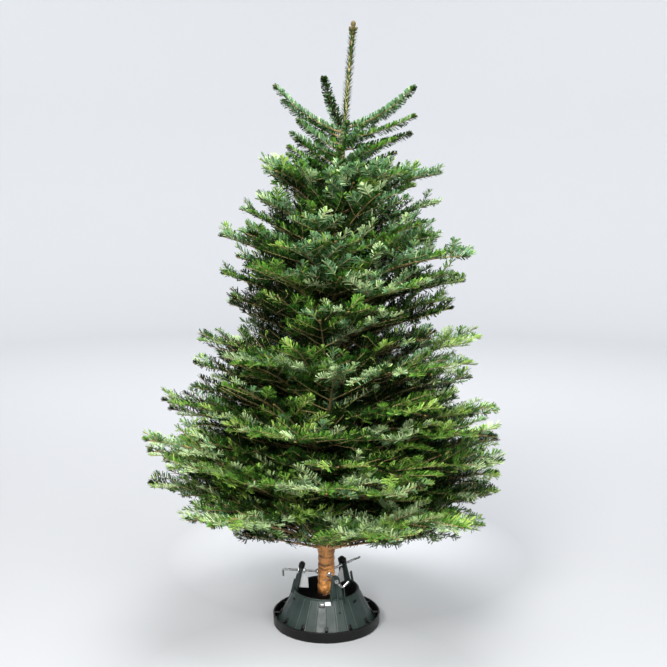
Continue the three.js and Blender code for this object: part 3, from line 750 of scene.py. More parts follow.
byTone = {name: [] for name in toneNames}
lighter = np.array([toneNumber[name] for name in ("deep", "mid", "fresh", "pale", "pale", "pale")])
darker = np.array([toneNumber[name] for name in ("shade", "shade", "deep", "deep", "mid", "blue")])
for (corners, who, selfShade, tipped), group in ((onBoughs, boughAxis), (onShoots, shoots)):
    tone = tonesOf(group)[who]
    # painted shade: the marked needles take the next darker tone
    tone[selfShade] = darker[tone[selfShade]]
    fresh = between(*dressing["fresh"], np.clip(corners[:, 0, 2] - 0.8, 0, 1))
    tone[tipped & (rng.random(len(tone)) < fresh)] = toneNumber["fresh"]
    dice = rng.random(len(tone))
    paler = (dice > dressing["lighter"]) & (tone > 0)
    tone = np.where(dice < dressing["darker"], darker[tone], np.where(paler, lighter[tone], tone))
    for number, name in enumerate(toneNames):
        byTone[name].append(corners[tone == number])
report("needles", sum(len(c) for group in byTone.values() for c in group))


leaderShape = dict(fork=1.6453, top=1.965, radius=0.0058, tipRadius=0.0046, needles=460, needle=0.0185,
                   half=0.0015, turn=2.39996, leans=(40, 64), reach=0.0176, rings=60, sides=14,
                   footRadius=0.0085)


def alongLeader(z):
    # the trunk's axis carried on to the tip
    point = trunkAt(z)
    along = unit(trunkAt(z + 0.002) - trunkAt(z - 0.002))
    side = unit(np.cross(np.array([0.0, 1.0, 0.0]), along))
    return point, along, side, np.cross(along, side)


def leaderNeedles():
    # needles in a spiral round the leader, no longer than the room round it
    count = leaderShape["needles"]
    s = (np.arange(count) + rng.random(count)) / count
    z = between(leaderShape["fork"] + 0.01, leaderShape["top"] - 0.030, s)
    point, along, side, up = alongLeader(z)
    around = np.arange(count) * leaderShape["turn"] + rng.normal(0, 0.3, count)
    lean = np.radians(rng.uniform(*leaderShape["leans"], count))
    radial = side * np.cos(around)[:, None] + up * np.sin(around)[:, None]
    direction = unit(along * np.cos(lean)[:, None] + radial * np.sin(lean)[:, None])
    face = unit(along - direction * (along * direction).sum(-1, keepdims=True))
    flat = np.cross(direction, face)
    size = leaderShape["needle"] * rng.uniform(0.75, 1.0, count)
    reach = between(leaderShape["radius"], leaderShape["tipRadius"], s)
    size = np.minimum(size, (leaderShape["reach"] - reach) / np.sin(lean))
    base = point + radial * (reach * 0.9)[:, None]
    end = base + direction * size[:, None]
    wide = flat * leaderShape["half"]
    return np.stack([base - wide, base + wide, end + wide * 0.8, end - wide * 0.8], axis=1)


byTone["deep"].append(leaderNeedles())
foliageNodes = [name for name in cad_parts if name.startswith("foliage_")]
mostNeedles = 98000  # two faces each, so a piece stays under 200,000
made = 0
for name in toneNames:
    corners = np.concatenate(byTone[name])
    corners = corners[np.argsort(corners[:, 0, 2])]
    pieces = max(1, math.ceil(len(corners) / mostNeedles))
    for number, chunk in enumerate(np.array_split(corners, pieces)):
        first = np.arange(len(chunk))[:, None] * 4
        faces = np.concatenate([first + [0, 1, 2], first + [0, 2, 3]])
        meshPiece(f"needles_{name}_{number + 1}", chunk.reshape(-1, 3), faces, needleMaterials[name],
                  "needles", nodes=foliageNodes if made == 0 else ())
        made += len(chunk)
report("needle pieces", made)


def grid(count):
    return np.linspace(0, 1, count)[None, :]


twigGrid = {1: (4, 5), 2: (3, 4), 3: (3, 3)}  # the order of a shoot: its sides and its rings
parts = []
for order, (sides, count) in twigGrid.items():
    mine = pick(shoots, shoots["order"] == order)
    if not len(mine["length"]):
        continue
    s = np.broadcast_to(grid(count), (len(mine["length"]), count))
    wide = shootRadius({key: mine[key][:, None] for key in ("length", "years")}, s)
    parts.append(tubes(alongShoot(mine, s), wide, sides))
points, faces = stacked(parts)
for number, chunk in enumerate(np.array_split(faces, 2)):
    used, place = np.unique(chunk, return_inverse=True)
    chunk = place.reshape(chunk.shape)
    meshPiece(f"twigs_{number + 1}", points[used], chunk, barks["twig_bark"], "bough_bark", smooth=True)
report("twigs", len(faces) * 2)

boughLook = dict(rings=21, sides=6, collar=0.55, collarReach=0.016, node=0.22, nodeReach=0.012, ripple=0.07)
s = np.broadcast_to(grid(boughLook["rings"]), (len(rows), boughLook["rings"]))
long, whichBough = boughAxis["length"][:, None], boughs["bough"][:, None]
fromBark = s * long - trunkRadius(boughAxis["root"][:, 2])[:, None]
wide = boughRadius(long, s) * (1 + boughLook["collar"] * fallOff(fromBark / boughLook["collarReach"]))
for years in range(2, boughs["years"].max() + 1):
    whose = boughs["years"] == years
    for j in range(1, years):
        fromNode = (s[whose] - j / years) * long[whose]
        wide[whose] *= 1 + boughLook["node"] * fallOff(fromNode / boughLook["nodeReach"])
wide *= 1 + boughLook["ripple"] * np.sin(s * 61 + whichBough * 2.1) * np.sin(s * 143 + whichBough)
points, faces = tubes(alongBough(boughAxis, s), wide, boughLook["sides"])
boughNodes = [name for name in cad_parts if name.startswith("bough_")]
meshPiece("boughs", points, faces, barks["bough_bark"], "bough_bark", smooth=True, nodes=boughNodes)
report("boughs", len(faces) * 2)

budShape = dict(sides=4, onShoot=(0.0058, 0.0021), onBough=(0.0085, 0.0030), shorter=0.002, aside=0.7,
                outsideBough=0.7, outsideCrown=0.72)


def budsAt(point, along, side, up, long, half):
    # a spindle of a few sides at every tip
    s = np.broadcast_to(np.array([[0.0, 0.45, 1.0]]), (len(point), 3))
    centre = point[:, None] + along[:, None] * (s * long[:, None])[..., None]
    wide = half[:, None] * np.array([[0.55, 1.0, 0.06]])
    spread = [np.broadcast_to(v[:, None], centre.shape) for v in (along, side, up)]
    return tubes((centre, *spread), wide, budShape["sides"])


own, _, crown = outerness(shoots)
tips = pick(shoots, (own > budShape["outsideBough"]) & (crown > budShape["outsideCrown"]))
ends = [v[:, 0] for v in alongShoot(tips, np.ones((len(tips["length"]), 1)))]
grown = rng.uniform(0.8, 1.2, len(tips["length"]))
parts = [budsAt(*ends, *(size * grown for size in budShape["onShoot"]))]
point, along, side, up = (v[:, 0] for v in alongBough(boughAxis, np.ones((len(rows), 1))))
long, half = budShape["onBough"]
for turn in (0, 1.0, -1.0):
    outwards = unit(along + side * budShape["aside"] * turn)
    size = np.full(len(rows), long - budShape["shorter"] * abs(turn)), np.full(len(rows), half)
    parts.append(budsAt(point, outwards, side, up, *size))
points, faces = stacked(parts)
meshPiece("buds", points, faces, barks["bud_scales"], "bough_bark", smooth=True)
report("buds", len(faces) * 2)

share = grid(leaderShape["rings"])
wide = between(leaderShape["radius"], leaderShape["tipRadius"], share) * (1 + 0.05 * np.sin(share * 90))
wide[0, 0] = leaderShape["footRadius"]
frames = alongLeader(between(leaderShape["fork"] - 0.02, leaderShape["top"] - 0.012, share))
leaderTube = tubes(frames, wide, leaderShape["sides"])
# rings of buds below the tip: how many, how far down, first angle, step between them, tilt, length, half width
budRings = ((1, 0.0190, 0.0, 0.0, 0.0, 0.0188, 0.0082), (5, 0.0315, 0.0, 1.2566, 1.3, 0.0185, 0.0064),
            (3, 0.0430, 0.7, 2.0944, 1.2, 0.0140, 0.0046))


def knobAt(height, angle, tilt, long, half):
    # a round bud on the leader: a short tube whose width follows a half circle
    along = unit(np.array([[math.cos(angle) * tilt, math.sin(angle) * tilt, 1.0]]))
    side = unit(np.cross(np.array([[0.0, 1.0, 0.0]]), along))
    s = np.array([[0.0, 0.2, 0.45, 0.7, 0.88, 1.0]])
    centre = trunkAt(height)[None, None] + along[:, None] * (s * long)[..., None]
    spread = [np.broadcast_to(v[:, None], centre.shape) for v in (along, side, np.cross(along, side))]
    return tubes((centre, *spread), half * np.array([[0.6, 0.9, 1.0, 0.85, 0.55, 0.08]]), 8)


cluster = [knobAt(leaderShape["top"] - down, first + turn * step, tilt, long, half)
           for count, down, first, step, tilt, long, half in budRings for turn in range(count)]
meshPiece("leader", *leaderTube, barks["leader_bark"], "young_needles", smooth=True, nodes=["leader_shoot"])
meshPiece("leader_buds", *stacked(cluster), barks["leader_scales"], "young_needles", smooth=True)
report("leader")

standShape = dict(panels=27, perPanel=16, dishRadius=0.1798, dishHeight=0.038, dishWall=0.004,
                  dishFloor=0.004, skirtRadius=0.169, skirtFoot=0.0043, rimRadius=0.109, skirtTop=0.116,
                  wall=0.0035, bowlFloor=0.048, bowlFloorRadius=0.0885, outside=0.1085, seam=0.0011,
                  seamHalf=0.0013, slotDepth=0.003)
slotShape = dict(beside=(-27, 33), radius=0.116, half=0.0085, height=0.0995, halfHeight=0.0030)
armShape = dict(azimuths=(-70, 50, 170), footRadius=0.102, footHeight=0.100, headRadius=0.084, headHeight=0.192,
                footWidth=0.058, headWidth=0.025, footDepth=0.011, headDepth=0.013, cap=0.86, hollow=0.0025)
screwShape = dict(radius=0.0040, height=0.175, elbow=0.150, bend=0.008, crank=0.030, turns=(42, 150, 250),
                  padRadius=0.0095, pitch=0.0022, thread=0.00045, sides=14, nutsAt=(0.0745, 0.0935))
# knots are angle, height and size; seat is the bark's radius behind the pads of the clamp screws
trunkLook = dict(around=48, finerBelow=0.32, low=120, high=170, fibres=0.0009, swells=0.0014, rings=0.0013,
                 ringsAt=0.16, ringsOver=0.12, collar=0.0052, seat=0.0277, seatReach=0.0135,
                 knots=((-1.9, 0.205, 0.004), (-0.9, 0.225, 0.005), (-1.75, 0.136, 0.006), (-1.3, 0.150, 0.003),
                        (2.2, 0.190, 0.004), (0.6, 0.170, 0.003)))


def trunkPiece():
    # radius + fibres + rings + a collar at each bough + knots, pressed flat behind the pads
    look, around = trunkLook, trunkLook["around"]
    z = np.concatenate([np.linspace(trunkShape["foot"], look["finerBelow"], look["low"], endpoint=False),
                        np.linspace(look["finerBelow"], trunkShape["fork"], look["high"])])
    turn, height = np.meshgrid(np.arange(around) * 2 * np.pi / around, z)
    radius = trunkRadius(height)
    slim = radius / 0.030
    relief = look["fibres"] * waves(turn, height, (16, 60), 24, 1) * slim
    relief = relief + look["swells"] * waves(turn, height, (5, 22), 12, 2) * slim
    ripple = look["rings"] * np.sin(height * 260 + 1.5 * np.sin(turn * 2)) * slim ** 2
    relief += ripple * fallOff((height - look["ringsAt"]) / look["ringsOver"])
    collars = np.zeros_like(relief)
    for one in rows:
        wide = min(1.3, 0.25 + 0.9 * boughRadius(one["length"], 0.0) / 0.0076)
        aside = wrapped(turn - one["azimuth"]) * radius / (0.010 * wide)
        above = (height - one["root"][2] - 0.006) / (0.015 * wide)
        own = np.exp(-aside ** 2 - above ** 2)
        collars = np.maximum(collars, look["collar"] * slim ** 0.6 * wide * own)
    relief += collars
    for angle, level, size in look["knots"]:
        near = np.sqrt((wrapped(turn - angle) * radius) ** 2 + (height - level) ** 2)
        relief += size * fallOff(near / 0.009) - size * 1.3 * fallOff(near / 0.004)
    radius = radius + relief
    for azimuth in armShape["azimuths"]:
        aside = wrapped(turn - math.radians(azimuth)) * look["seat"]
        near = (aside ** 8 + (height - screwShape["height"]) ** 8) / look["seatReach"] ** 8
        radius = radius - np.exp(-near) * np.maximum(0, radius - look["seat"])
    points = trunkAt(height) + np.stack([np.cos(turn) * radius, np.sin(turn) * radius, 0 * turn], axis=-1)
    points = np.concatenate([points.reshape(-1, 3), trunkAt(z[:1]), trunkAt(z[-1:])])
    foot, head, last = len(points) - 2, len(points) - 1, (len(z) - 1) * around
    even = np.arange(0, around, 2)
    caps = [np.stack([0 * even + foot, (even + 2) % around, even + 1, even], axis=-1),
            np.stack([0 * even + head, last + even, last + even + 1, last + (even + 2) % around], axis=-1)]
    return points, np.concatenate([wallFaces(len(z), around), *caps])


meshPiece("trunk_bark", *trunkPiece(), barks["trunk_bark"], "trunk_bark", smooth=True, nodes=["trunk"])
report("trunk")


def rounded(corners, size, steps=4):
    # each inner corner of a polyline becomes a curve of a few points, at most size away from it
    corners = np.asarray(corners, dtype=float)
    made = [corners[:1]]
    t = np.linspace(0, 1, steps)[:, None]
    for before, corner, after in zip(corners, corners[1:], corners[2:]):
        reach = min(size, np.linalg.norm(corner - before) / 2.1, np.linalg.norm(after - corner) / 2.1)
        a = corner + (before - corner) / np.linalg.norm(before - corner) * reach
        b = corner + (after - corner) / np.linalg.norm(after - corner) * reach
        made.append((1 - t) ** 2 * a + 2 * t * (1 - t) * corner + t ** 2 * b)
    return np.concatenate(made + [corners[-1:]])


def lathe(profile, around, shape=None):
    # a profile of radius and height turned round Z; shape(angle, radius, height) changes the radius
    u = np.arange(around) * 2 * np.pi / around
    radius = np.repeat(profile[:, :1], around, 1)
    height = np.repeat(profile[:, 1:], around, 1)
    if shape:
        radius = shape(u[None, :], radius, height)
    points = np.stack([radius * np.cos(u), radius * np.sin(u), height], axis=-1).reshape(-1, 3)
    return points, wallFaces(len(profile), around)


def placedAt(points, azimuth, radius=0.0, height=0.0, tilt=0.0):
    # points round the origin, x outwards, are leaned outwards by tilt, moved out and up, and turned to azimuth
    c, s = math.cos(tilt), math.sin(tilt)
    x = points[:, 0] * c + points[:, 2] * s + radius
    z = -points[:, 0] * s + points[:, 2] * c + height
    turn = math.radians(azimuth)
    return np.stack([x * math.cos(turn) - points[:, 1] * math.sin(turn),
                     x * math.sin(turn) + points[:, 1] * math.cos(turn), z], axis=-1)


def block(size, power=6.0, around=24, rows=7):
    # a box with soft edges: a superellipse across, and the same fall towards its two ends
    angle = np.arange(around) * 2 * np.pi / around
    across = np.stack([np.sign(np.cos(angle)) * np.abs(np.cos(angle)) ** (2 / power),
                       np.sign(np.sin(angle)) * np.abs(np.sin(angle)) ** (2 / power)], axis=-1)
    lift = np.concatenate([[-1.0], -1 + 0.12 * np.linspace(0, 1, rows // 2 + 1)])
    lift = np.concatenate([lift, -lift[::-1]])
    edge = (1 - np.abs(lift) ** 18) ** (1 / 4)
    edge[[0, -1]] = 0.002
    edge[[1, -2]] = 0.90
    points = np.concatenate([np.stack([across[:, 0] * e * size[0] / 2, across[:, 1] * e * size[1] / 2,
                                       np.full(around, h * size[2] / 2)], axis=-1) for h, e in zip(lift, edge)])
    return points, wallFaces(len(lift), around)


def placedBlock(size, azimuth, radius, height, lean=0.0, aside=0.0, **shape):
    # a block moved aside, then leaned, moved out and up, and turned to its azimuth
    points, faces = block(size, **shape)
    return placedAt(points + [0, aside, 0], azimuth, radius, height, lean), faces


def slotShare(u, height):
    # 1 inside the slots below the rim, 0 elsewhere
    inside = np.zeros(np.broadcast(u, height).shape)
    level = np.abs(height - slotShape["height"]) < slotShape["halfHeight"]
    for azimuth in armShape["azimuths"]:
        for beside in slotShape["beside"]:
            swing = wrapped(u - math.radians(azimuth + beside))
            inside = np.maximum(inside, (np.abs(swing * slotShape["radius"]) < slotShape["half"]) & level)
    return inside


def skirtRadius(u, radius, height):
    # flat panels between seams, a groove at each seam, and slots sunk below the rim
    step = 2 * np.pi / standShape["panels"]
    off = (u + np.pi / 2) % step - step / 2
    outside = np.clip((radius - standShape["outside"]) / 0.001, 0, 1) * (height < 0.1175)
    flat = radius * np.cos(step / 2) / np.cos(off)
    seam = (step / 2 - np.abs(off)) * radius
    groove = standShape["seam"] * fallOff(seam / standShape["seamHalf"])
    return between(radius, flat - groove - standShape["slotDepth"] * slotShare(u, height), outside)


def skirtPiece():
    # the outer face from foot to rim, over the rounded lip, and down the inner face
    foot, rim, low, top = (standShape[key] for key in ("skirtRadius", "rimRadius", "skirtFoot", "skirtTop"))
    rise = np.concatenate([np.linspace(0, 0.72, 14), np.linspace(0.735, 0.985, 24)])
    side = np.stack([between(foot, rim, rise), between(low, top, rise)], axis=-1)
    lip = rounded([side[-1], (0.1092, 0.1165), (0.1100, 0.1192), (0.1080, 0.1212), (0.1045, 0.1210),
                   (0.1032, 0.1180), (0.1055, 0.1140), (foot - standShape["wall"], low)], 0.0012, 3)[1:]
    around = standShape["panels"] * standShape["perPanel"]
    return lathe(np.concatenate([side, lip, side[:1]]), around, skirtRadius)


def surfaceSkirt(height):
    # the radius of the skirt's flat panels at a height
    share = (height - standShape["skirtFoot"]) / (standShape["skirtTop"] - standShape["skirtFoot"])
    return between(standShape["skirtRadius"], standShape["rimRadius"], share) * 0.9945


skirtLean = -math.atan((standShape["skirtRadius"] - standShape["rimRadius"])
                       / (standShape["skirtTop"] - standShape["skirtFoot"]))
greenPlastic = plasticMaterial("green_plastic", (0.014, 0.027, 0.023), (0.024, 0.038, 0.034), 0.38, 0.10)
blackPlastic = plasticMaterial("black_plastic", (0.003, 0.003, 0.003), (0.006, 0.006, 0.006), 0.34, 0.12, 0.26)
greyPlastic = plasticMaterial("grey_plastic", (0.66, 0.67, 0.68), (0.52, 0.53, 0.54), 0.40, 0.08)
steel = steelMaterial()

points, faces = skirtPiece()
skirt = meshPiece("stand_skirt", points, faces, greenPlastic, "green_plastic", nodes=["stand_housing"])
skirt.data.materials.append(blackPlastic)
middle = points[faces].mean(axis=1)
azimuth, radius = np.arctan2(middle[:, 1], middle[:, 0]), np.hypot(middle[:, 0], middle[:, 1])
dark = (slotShare(azimuth, middle[:, 2]) > 0) & (radius > standShape["outside"])
skirt.data.polygons.foreach_set("material_index", dark.astype(np.int32))

r, h = standShape["bowlFloorRadius"], standShape["bowlFloor"]
bowl = rounded([(0.0005, h), (r, h), (0.1012, 0.1175), (0.1038, 0.1185), (0.1040, 0.1150),
                (r + standShape["wall"], h - standShape["wall"]), (0.0005, h - standShape["wall"])], 0.004, 5)
meshPiece("stand_bowl", *lathe(bowl, 108), blackPlastic, "black_plastic", smooth=True)

r, h, wall, floorAt = (standShape[key] for key in ("dishRadius", "dishHeight", "dishWall", "dishFloor"))
dish = rounded([(0.0005, 0), (r - 0.006, 0), (r - 0.0015, 0.004), (r - 0.0015, h - 0.006), (r, h - 0.005),
                (r, h - 0.001), (r - 0.001, h), (r - wall - 0.001, h), (r - wall - 0.0015, h - 0.003),
                (r - wall - 0.002, floorAt + 0.003), (r - wall - 0.005, floorAt), (0.0005, floorAt)], 0.0018, 4)
dishNodes = ["stand_dish"]
meshPiece("stand_dish_visual", *lathe(dish, 144), blackPlastic, "black_plastic", smooth=True, nodes=dishNodes)


def armPiece(azimuth):
    # a tongue: its width and depth shrink from foot to head, and its head is round
    start, around = armShape["cap"], 28
    quarter = np.sin(np.linspace(0, np.pi / 2, 9)[1:])
    t = np.concatenate([np.linspace(0, start, 16), start + (1 - start) * quarter])
    cap = np.clip((t - start) / (1 - start), 0, 1)
    wide = between(armShape["footWidth"], armShape["headWidth"], t ** 0.8) / 2
    wide = wide * np.sqrt(np.maximum(1 - cap ** 2, 0.0004))
    deep = between(armShape["footDepth"], armShape["headDepth"], t) / 2 * (1 - 0.25 * cap ** 2)
    angle = np.arange(around) * 2 * np.pi / around
    out = np.sign(np.cos(angle)) * np.abs(np.cos(angle)) ** 0.5
    aside = np.sign(np.sin(angle)) * np.abs(np.sin(angle)) ** 0.4
    # the outer face is hollowed between two raised edges
    hollow = armShape["hollow"] * np.clip(1 - (np.abs(aside) / 0.72) ** 6, 0, 1) * (out > 0)
    x = between(armShape["footRadius"], armShape["headRadius"], t)[:, None] + deep[:, None] * out
    x = x - hollow * (1 - cap[:, None])
    z = np.repeat(between(armShape["footHeight"], armShape["headHeight"], t)[:, None], around, 1)
    points = np.stack([x, wide[:, None] * aside, z], axis=-1).reshape(-1, 3)
    return placedAt(points, azimuth), wallFaces(len(t), around)


def finPiece(azimuth):
    # an upright web on the arm's back, from its head down to the skirt
    count, half = 14, 0.0022
    z = np.linspace(0, 1, count)
    outer = between(0.0935, 0.1300, (1 - z) ** 1.35)
    inner = between(0.106, 0.088, z)
    height = between(0.078, 0.180, z)
    edges = [np.stack([edge, np.full(count, y), height], axis=-1)
             for edge, y in ((outer, -half), (outer, half), (inner, half), (inner, -half))]
    points = np.stack(edges, axis=1).reshape(-1, 3)
    ends = [len(points) - 4 + np.arange(4), np.arange(4)[::-1]]
    return placedAt(points, azimuth), np.concatenate([wallFaces(count, 4), ends])


armRib = dict(size=(0.010, 0.0035, 0.050), radius=0.1075, height=0.128, lean=math.radians(-14))
armCap = dict(size=(0.021, 0.029, 0.013), radius=0.0835, height=0.1925, lean=math.radians(-11), power=3.2)
armKnob = dict(size=(0.012, 0.016, 0.007), radius=0.0825, height=0.2010, lean=math.radians(-11), power=2.6)
ribAside = 0.0235
parts = []
for azimuth in armShape["azimuths"]:
    parts += [armPiece(azimuth), finPiece(azimuth)]
    parts += [placedBlock(azimuth=azimuth, aside=hand * ribAside, **armRib) for hand in (-1, 1)]
meshPiece("stand_arms", *stacked(parts), greenPlastic, "green_plastic", smooth=True)
cappedArms = armShape["azimuths"][1:]
parts = [placedBlock(azimuth=azimuth, **part) for azimuth in cappedArms for part in (armCap, armKnob)]
meshPiece("stand_caps", *stacked(parts), blackPlastic, "black_plastic", smooth=True)


def platePiece(azimuth):
    # a five-sided plate inside the arm, on edge towards the trunk
    outline = np.array([(0.0610, 0.1150), (0.0940, 0.1150), (0.0890, 0.1560), (0.0800, 0.1680),
                        (0.0630, 0.1480)])
    centre, layers = outline.mean(axis=0), []
    oneSide = [(-0.0018, 0.02), (-0.0018, 0.95), (-0.0014, 1.0)]  # how far aside, and the share of the outline
    for aside, grow in oneSide + [(-aside, grow) for aside, grow in oneSide[::-1]]:
        flat = centre + (outline - centre) * grow
        layers.append(np.stack([flat[:, 0], np.full(5, aside), flat[:, 1]], axis=-1))
    outwards = wallFaces(len(layers), 5)[:, [0, 3, 2, 1]]
    return placedAt(np.concatenate(layers), azimuth), outwards


plates = [platePiece(azimuth) for azimuth in cappedArms]
meshPiece("stand_plates", *stacked(plates), greyPlastic, "screw_steel")


def screwFrames(azimuth, turn, s):
    # straight from the pad to the bend, round it, and along the handle; s in metres from the trunk's axis
    out = np.array([math.cos(math.radians(azimuth)), math.sin(math.radians(azimuth)), 0.0])
    level = np.array([-out[1], out[0], 0.0])
    handle = level * math.cos(math.radians(turn)) + zAxis * math.sin(math.radians(turn))
    straight, bend = screwShape["elbow"] - screwShape["bend"], screwShape["bend"]
    arc = bend * np.pi / 2
    t = np.clip((s - straight) / arc, 0, 1) * np.pi / 2
    r = np.minimum(s, straight) + bend * np.sin(t)
    up = bend * (1 - np.cos(t)) + np.maximum(0, s - straight - arc)
    point = out * r[:, None] + handle * up[:, None] + zAxis * screwShape["height"]
    along = out * np.cos(t)[:, None] + handle * np.sin(t)[:, None]
    side = np.broadcast_to(np.cross(out, handle), along.shape)
    return tuple(v[None] for v in (point, along, side, np.cross(along, side)))


def turnedOut(profile, around, azimuth, radius):
    # a lathed part whose axis points out along the screw
    points, faces = lathe(np.array(profile), around)
    return placedAt(points[:, [2, 0, 1]], azimuth, radius, screwShape["height"]), faces


def threadPiece(azimuth, turn, start):
    # the radius rises and falls once round in each pitch
    s = np.arange(start, screwShape["elbow"] - 0.012, screwShape["pitch"] / 5)
    angle = np.arange(screwShape["sides"]) * 2 * np.pi / screwShape["sides"]
    wave = angle[None, None, :] - 2 * np.pi * s[None, :, None] / screwShape["pitch"]
    ridge = screwShape["thread"] * np.cos(wave)
    return tubes(screwFrames(azimuth, turn, s), screwShape["radius"] - 0.0004 + ridge, screwShape["sides"])


def handlePiece(azimuth, turn):
    # plain rod from the last thread round the bend, with a round end
    end = screwShape["elbow"] - screwShape["bend"] * (2 - np.pi / 2) + screwShape["crank"]
    tip = end - 0.002 + 0.002 * np.sin(np.linspace(0, np.pi / 2, 5)[1:])
    s = np.concatenate([np.linspace(screwShape["elbow"] - 0.014, end - 0.002, 30), tip])
    wide = np.full((1, len(s)), screwShape["radius"] * 0.93)
    wide[0, -4:] = screwShape["radius"] * 0.93 * np.array([0.92, 0.75, 0.45, 0.02])
    wide[0, 0] = 0.0002
    return tubes(screwFrames(azimuth, turn, s), wide, screwShape["sides"])


padProfile = rounded([(0.0002, 0.0004), (screwShape["padRadius"], 0.0004), (screwShape["padRadius"], 0.0036),
                      (0.0062, 0.0046), (0.0055, 0.0090), (0.0002, 0.0095)], 0.0008, 3)
nutProfile = [(0.0002, -0.003), (0.0072, -0.003), (0.0078, -0.0022), (0.0078, 0.0022), (0.0072, 0.003),
              (0.0002, 0.003)]
threads, plain, nuts = [], [], []
start = float(trunkRadius(screwShape["height"])) + 0.0012
for azimuth, turn in zip(armShape["azimuths"], screwShape["turns"]):
    threads.append(threadPiece(azimuth, turn, start))
    plain += [handlePiece(azimuth, turn), turnedOut(padProfile, 24, azimuth, start - 0.001)]
    nuts += [turnedOut(nutProfile, 6, azimuth, radius) for radius in screwShape["nutsAt"]]
screwNodes = ["stand_screw_1", "stand_screw_2", "stand_screw_3"]
meshPiece("screw_threads", *stacked(threads), steel, "screw_steel", smooth=True, nodes=screwNodes)
meshPiece("screw_handles", *stacked(plain), steel, "screw_steel", smooth=True)
meshPiece("screw_nuts", *stacked(nuts), steel, "screw_steel")

coarse = dict(power=5.0, around=16, rows=5)
clipUpright = dict(size=(0.0045, 0.0115, 0.0170), height=0.0365, lean=skirtLean, **coarse)
clipFoot = dict(size=(0.0240, 0.0075, 0.0040), radius=0.1650, height=0.0325, **coarse)
parts = []
clipRadius = surfaceSkirt(clipUpright["height"]) + 0.0015
for azimuth in range(-90, 270, 30):
    parts.append(placedBlock(azimuth=azimuth, radius=clipRadius, **clipUpright))
    parts.append(placedBlock(azimuth=azimuth, **clipFoot))
meshPiece("stand_clips", *stacked(parts), blackPlastic, "black_plastic", smooth=True)
blankPlate = dict(size=(0.0016, 0.024, 0.0125), azimuth=-86.5, height=0.1085, lean=skirtLean, power=8.0)
catch = dict(size=(0.003, 0.010, 0.005), azimuth=-97, height=0.1065, lean=skirtLean, power=5.0)
parts = [placedBlock(radius=surfaceSkirt(0.1085) + 0.0006, **blankPlate),
         placedBlock(radius=surfaceSkirt(0.1060) + 0.0010, **catch)]
meshPiece("stand_plate_blank", *stacked(parts), greyPlastic, "black_plastic", smooth=True)
report("stand")

stageShape = dict(radius=6.5, curve=2.2, height=3.4, around=96)
# the paper's tone goes from near to far along Y, a painted light that makes the far wall lighter than the near
# floor; each round area of painted light, which lightens the crown's shadow on the floor, is a centre, two
# radii and a share
paperLook = dict(near=(0.432, 0.440, 0.456, 1), far=(0.582, 0.594, 0.616, 1), start=0.5, end=6.0,
                 light=(0.860, 0.876, 0.906, 1),
                 paintedLightAreas=(((0.08, 0.70, 0), 0.15, 0.72, 0.85), ((-0.06, -0.45, 0), 0.15, 0.52, 0.36)))


def stagePiece():
    # a round floor that curves up into a wall
    flat = np.linspace(0.02, stageShape["radius"], 12)
    turn = np.linspace(0, np.pi / 2, 24)[1:]
    wall = stageShape["radius"] + stageShape["curve"]
    radius = np.concatenate([flat, stageShape["radius"] + stageShape["curve"] * np.sin(turn), [wall]])
    height = np.concatenate([0 * flat, stageShape["curve"] * (1 - np.cos(turn)), [stageShape["height"]]])
    return lathe(np.stack([radius, height], axis=-1), stageShape["around"])


def paperMaterial():
    # a matt paper with painted light: lighter far away, and in two round areas on the floor where the crown's
    # shadow falls
    material, tree, shader = newMaterial("stage_paper", Roughness=0.85, Specular_IOR_Level=0.2)
    where = node(tree, "ShaderNodeTexCoord").outputs["Object"]
    away = node(tree, "ShaderNodeSeparateXYZ", {0: where}).outputs[1]
    away = ranged(tree, away, start=paperLook["start"], end=paperLook["end"])
    tone = mixed(tree, away, paperLook["near"], paperLook["far"])
    for centre, near, far, share in paperLook["paintedLightAreas"]:
        gap = node(tree, "ShaderNodeVectorMath", {0: where, 1: centre}, operation="DISTANCE").outputs["Value"]
        tone = mixed(tree, ranged(tree, gap, share, 0.0, near, far), tone, paperLook["light"])
    tree.links.new(tone, shader.inputs["Base Color"])
    return material


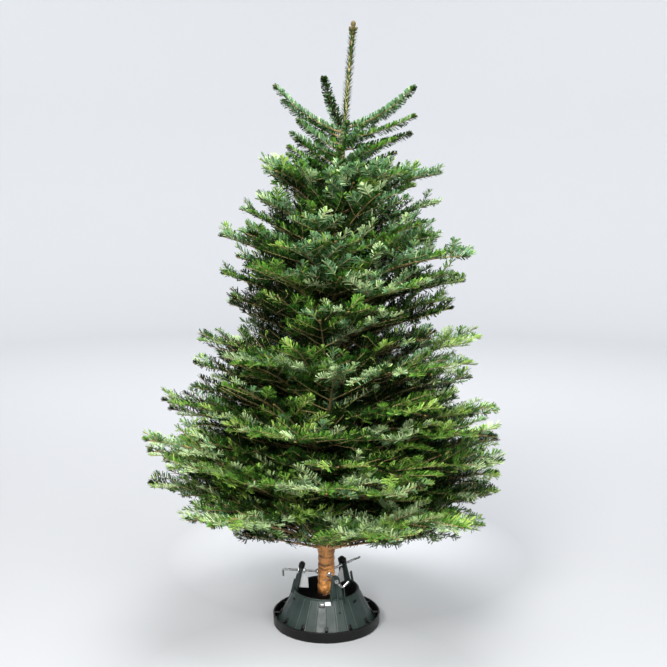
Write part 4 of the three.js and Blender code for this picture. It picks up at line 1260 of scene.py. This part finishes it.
points, faces = stagePiece()
mesh = bpy.data.meshes.new("stage_floor")
mesh.from_pydata(points.tolist(), [], faces.tolist() + [list(range(stageShape["around"]))])
mesh.materials.append(paperMaterial())
mesh.polygons.foreach_set("use_smooth", np.full(len(mesh.polygons), True))
floor = bpy.data.objects.new("stage_floor", mesh)
bpy.context.scene.collection.objects.link(floor)
report("stage")

world = bpy.data.worlds.new("soft_room")
bpy.context.scene.world = world
world.use_nodes = True
background = world.node_tree.nodes["Background"]
background.inputs["Color"].default_value = (0.95, 0.97, 1.0, 1)
background.inputs["Strength"].default_value = 0.60


def areaLight(name, place, target, size, power, colour=(1, 1, 1)):
    data = bpy.data.lights.new(name, "AREA")
    data.shape = "DISK"
    data.size, data.energy, data.color = size, power, colour
    lamp = bpy.data.objects.new(name, data)
    bpy.context.scene.collection.objects.link(lamp)
    lamp.location = place
    lamp.visible_camera = False
    lamp.rotation_euler = (Vector(target) - Vector(place)).to_track_quat("-Z", "Y").to_euler()
    return lamp


areaLight("key", (-1.3, -4.1, 3.5), (0, 0, 0.9), 2.2, 335, (1.0, 0.985, 0.96))
areaLight("fill", (1.8, -4.1, 2.8), (0, 0, 0.8), 2.4, 120, (0.97, 0.985, 1.0))
areaLight("top", (0.2, -0.4, 4.4), (0, 0, 0.9), 2.4, 110)
areaLight("back", (0.6, 3.4, 3.6), (0, 0, 1.0), 2.0, 50)
for hand in (-1, 1):
    areaLight("wall", (hand * 2.8, 3.6, 4.2), (hand * 1.0, 8.4, 0.2), 4.0, 115)

cameraLook = dict(sensor=36, lens=57.3, place=(0, -3.4, 1.5), down=8.65, turn=-0.4)
bpy.context.scene.view_settings.view_transform = "Standard"
camera = bpy.data.objects.new("camera", bpy.data.cameras.new("camera"))
bpy.context.scene.collection.objects.link(camera)
camera.data.sensor_width = cameraLook["sensor"]
camera.data.lens = cameraLook["lens"]
camera.location = cameraLook["place"]
camera.rotation_euler = (math.radians(90 - cameraLook["down"]), 0, math.radians(cameraLook["turn"]))
bpy.context.scene.camera = camera
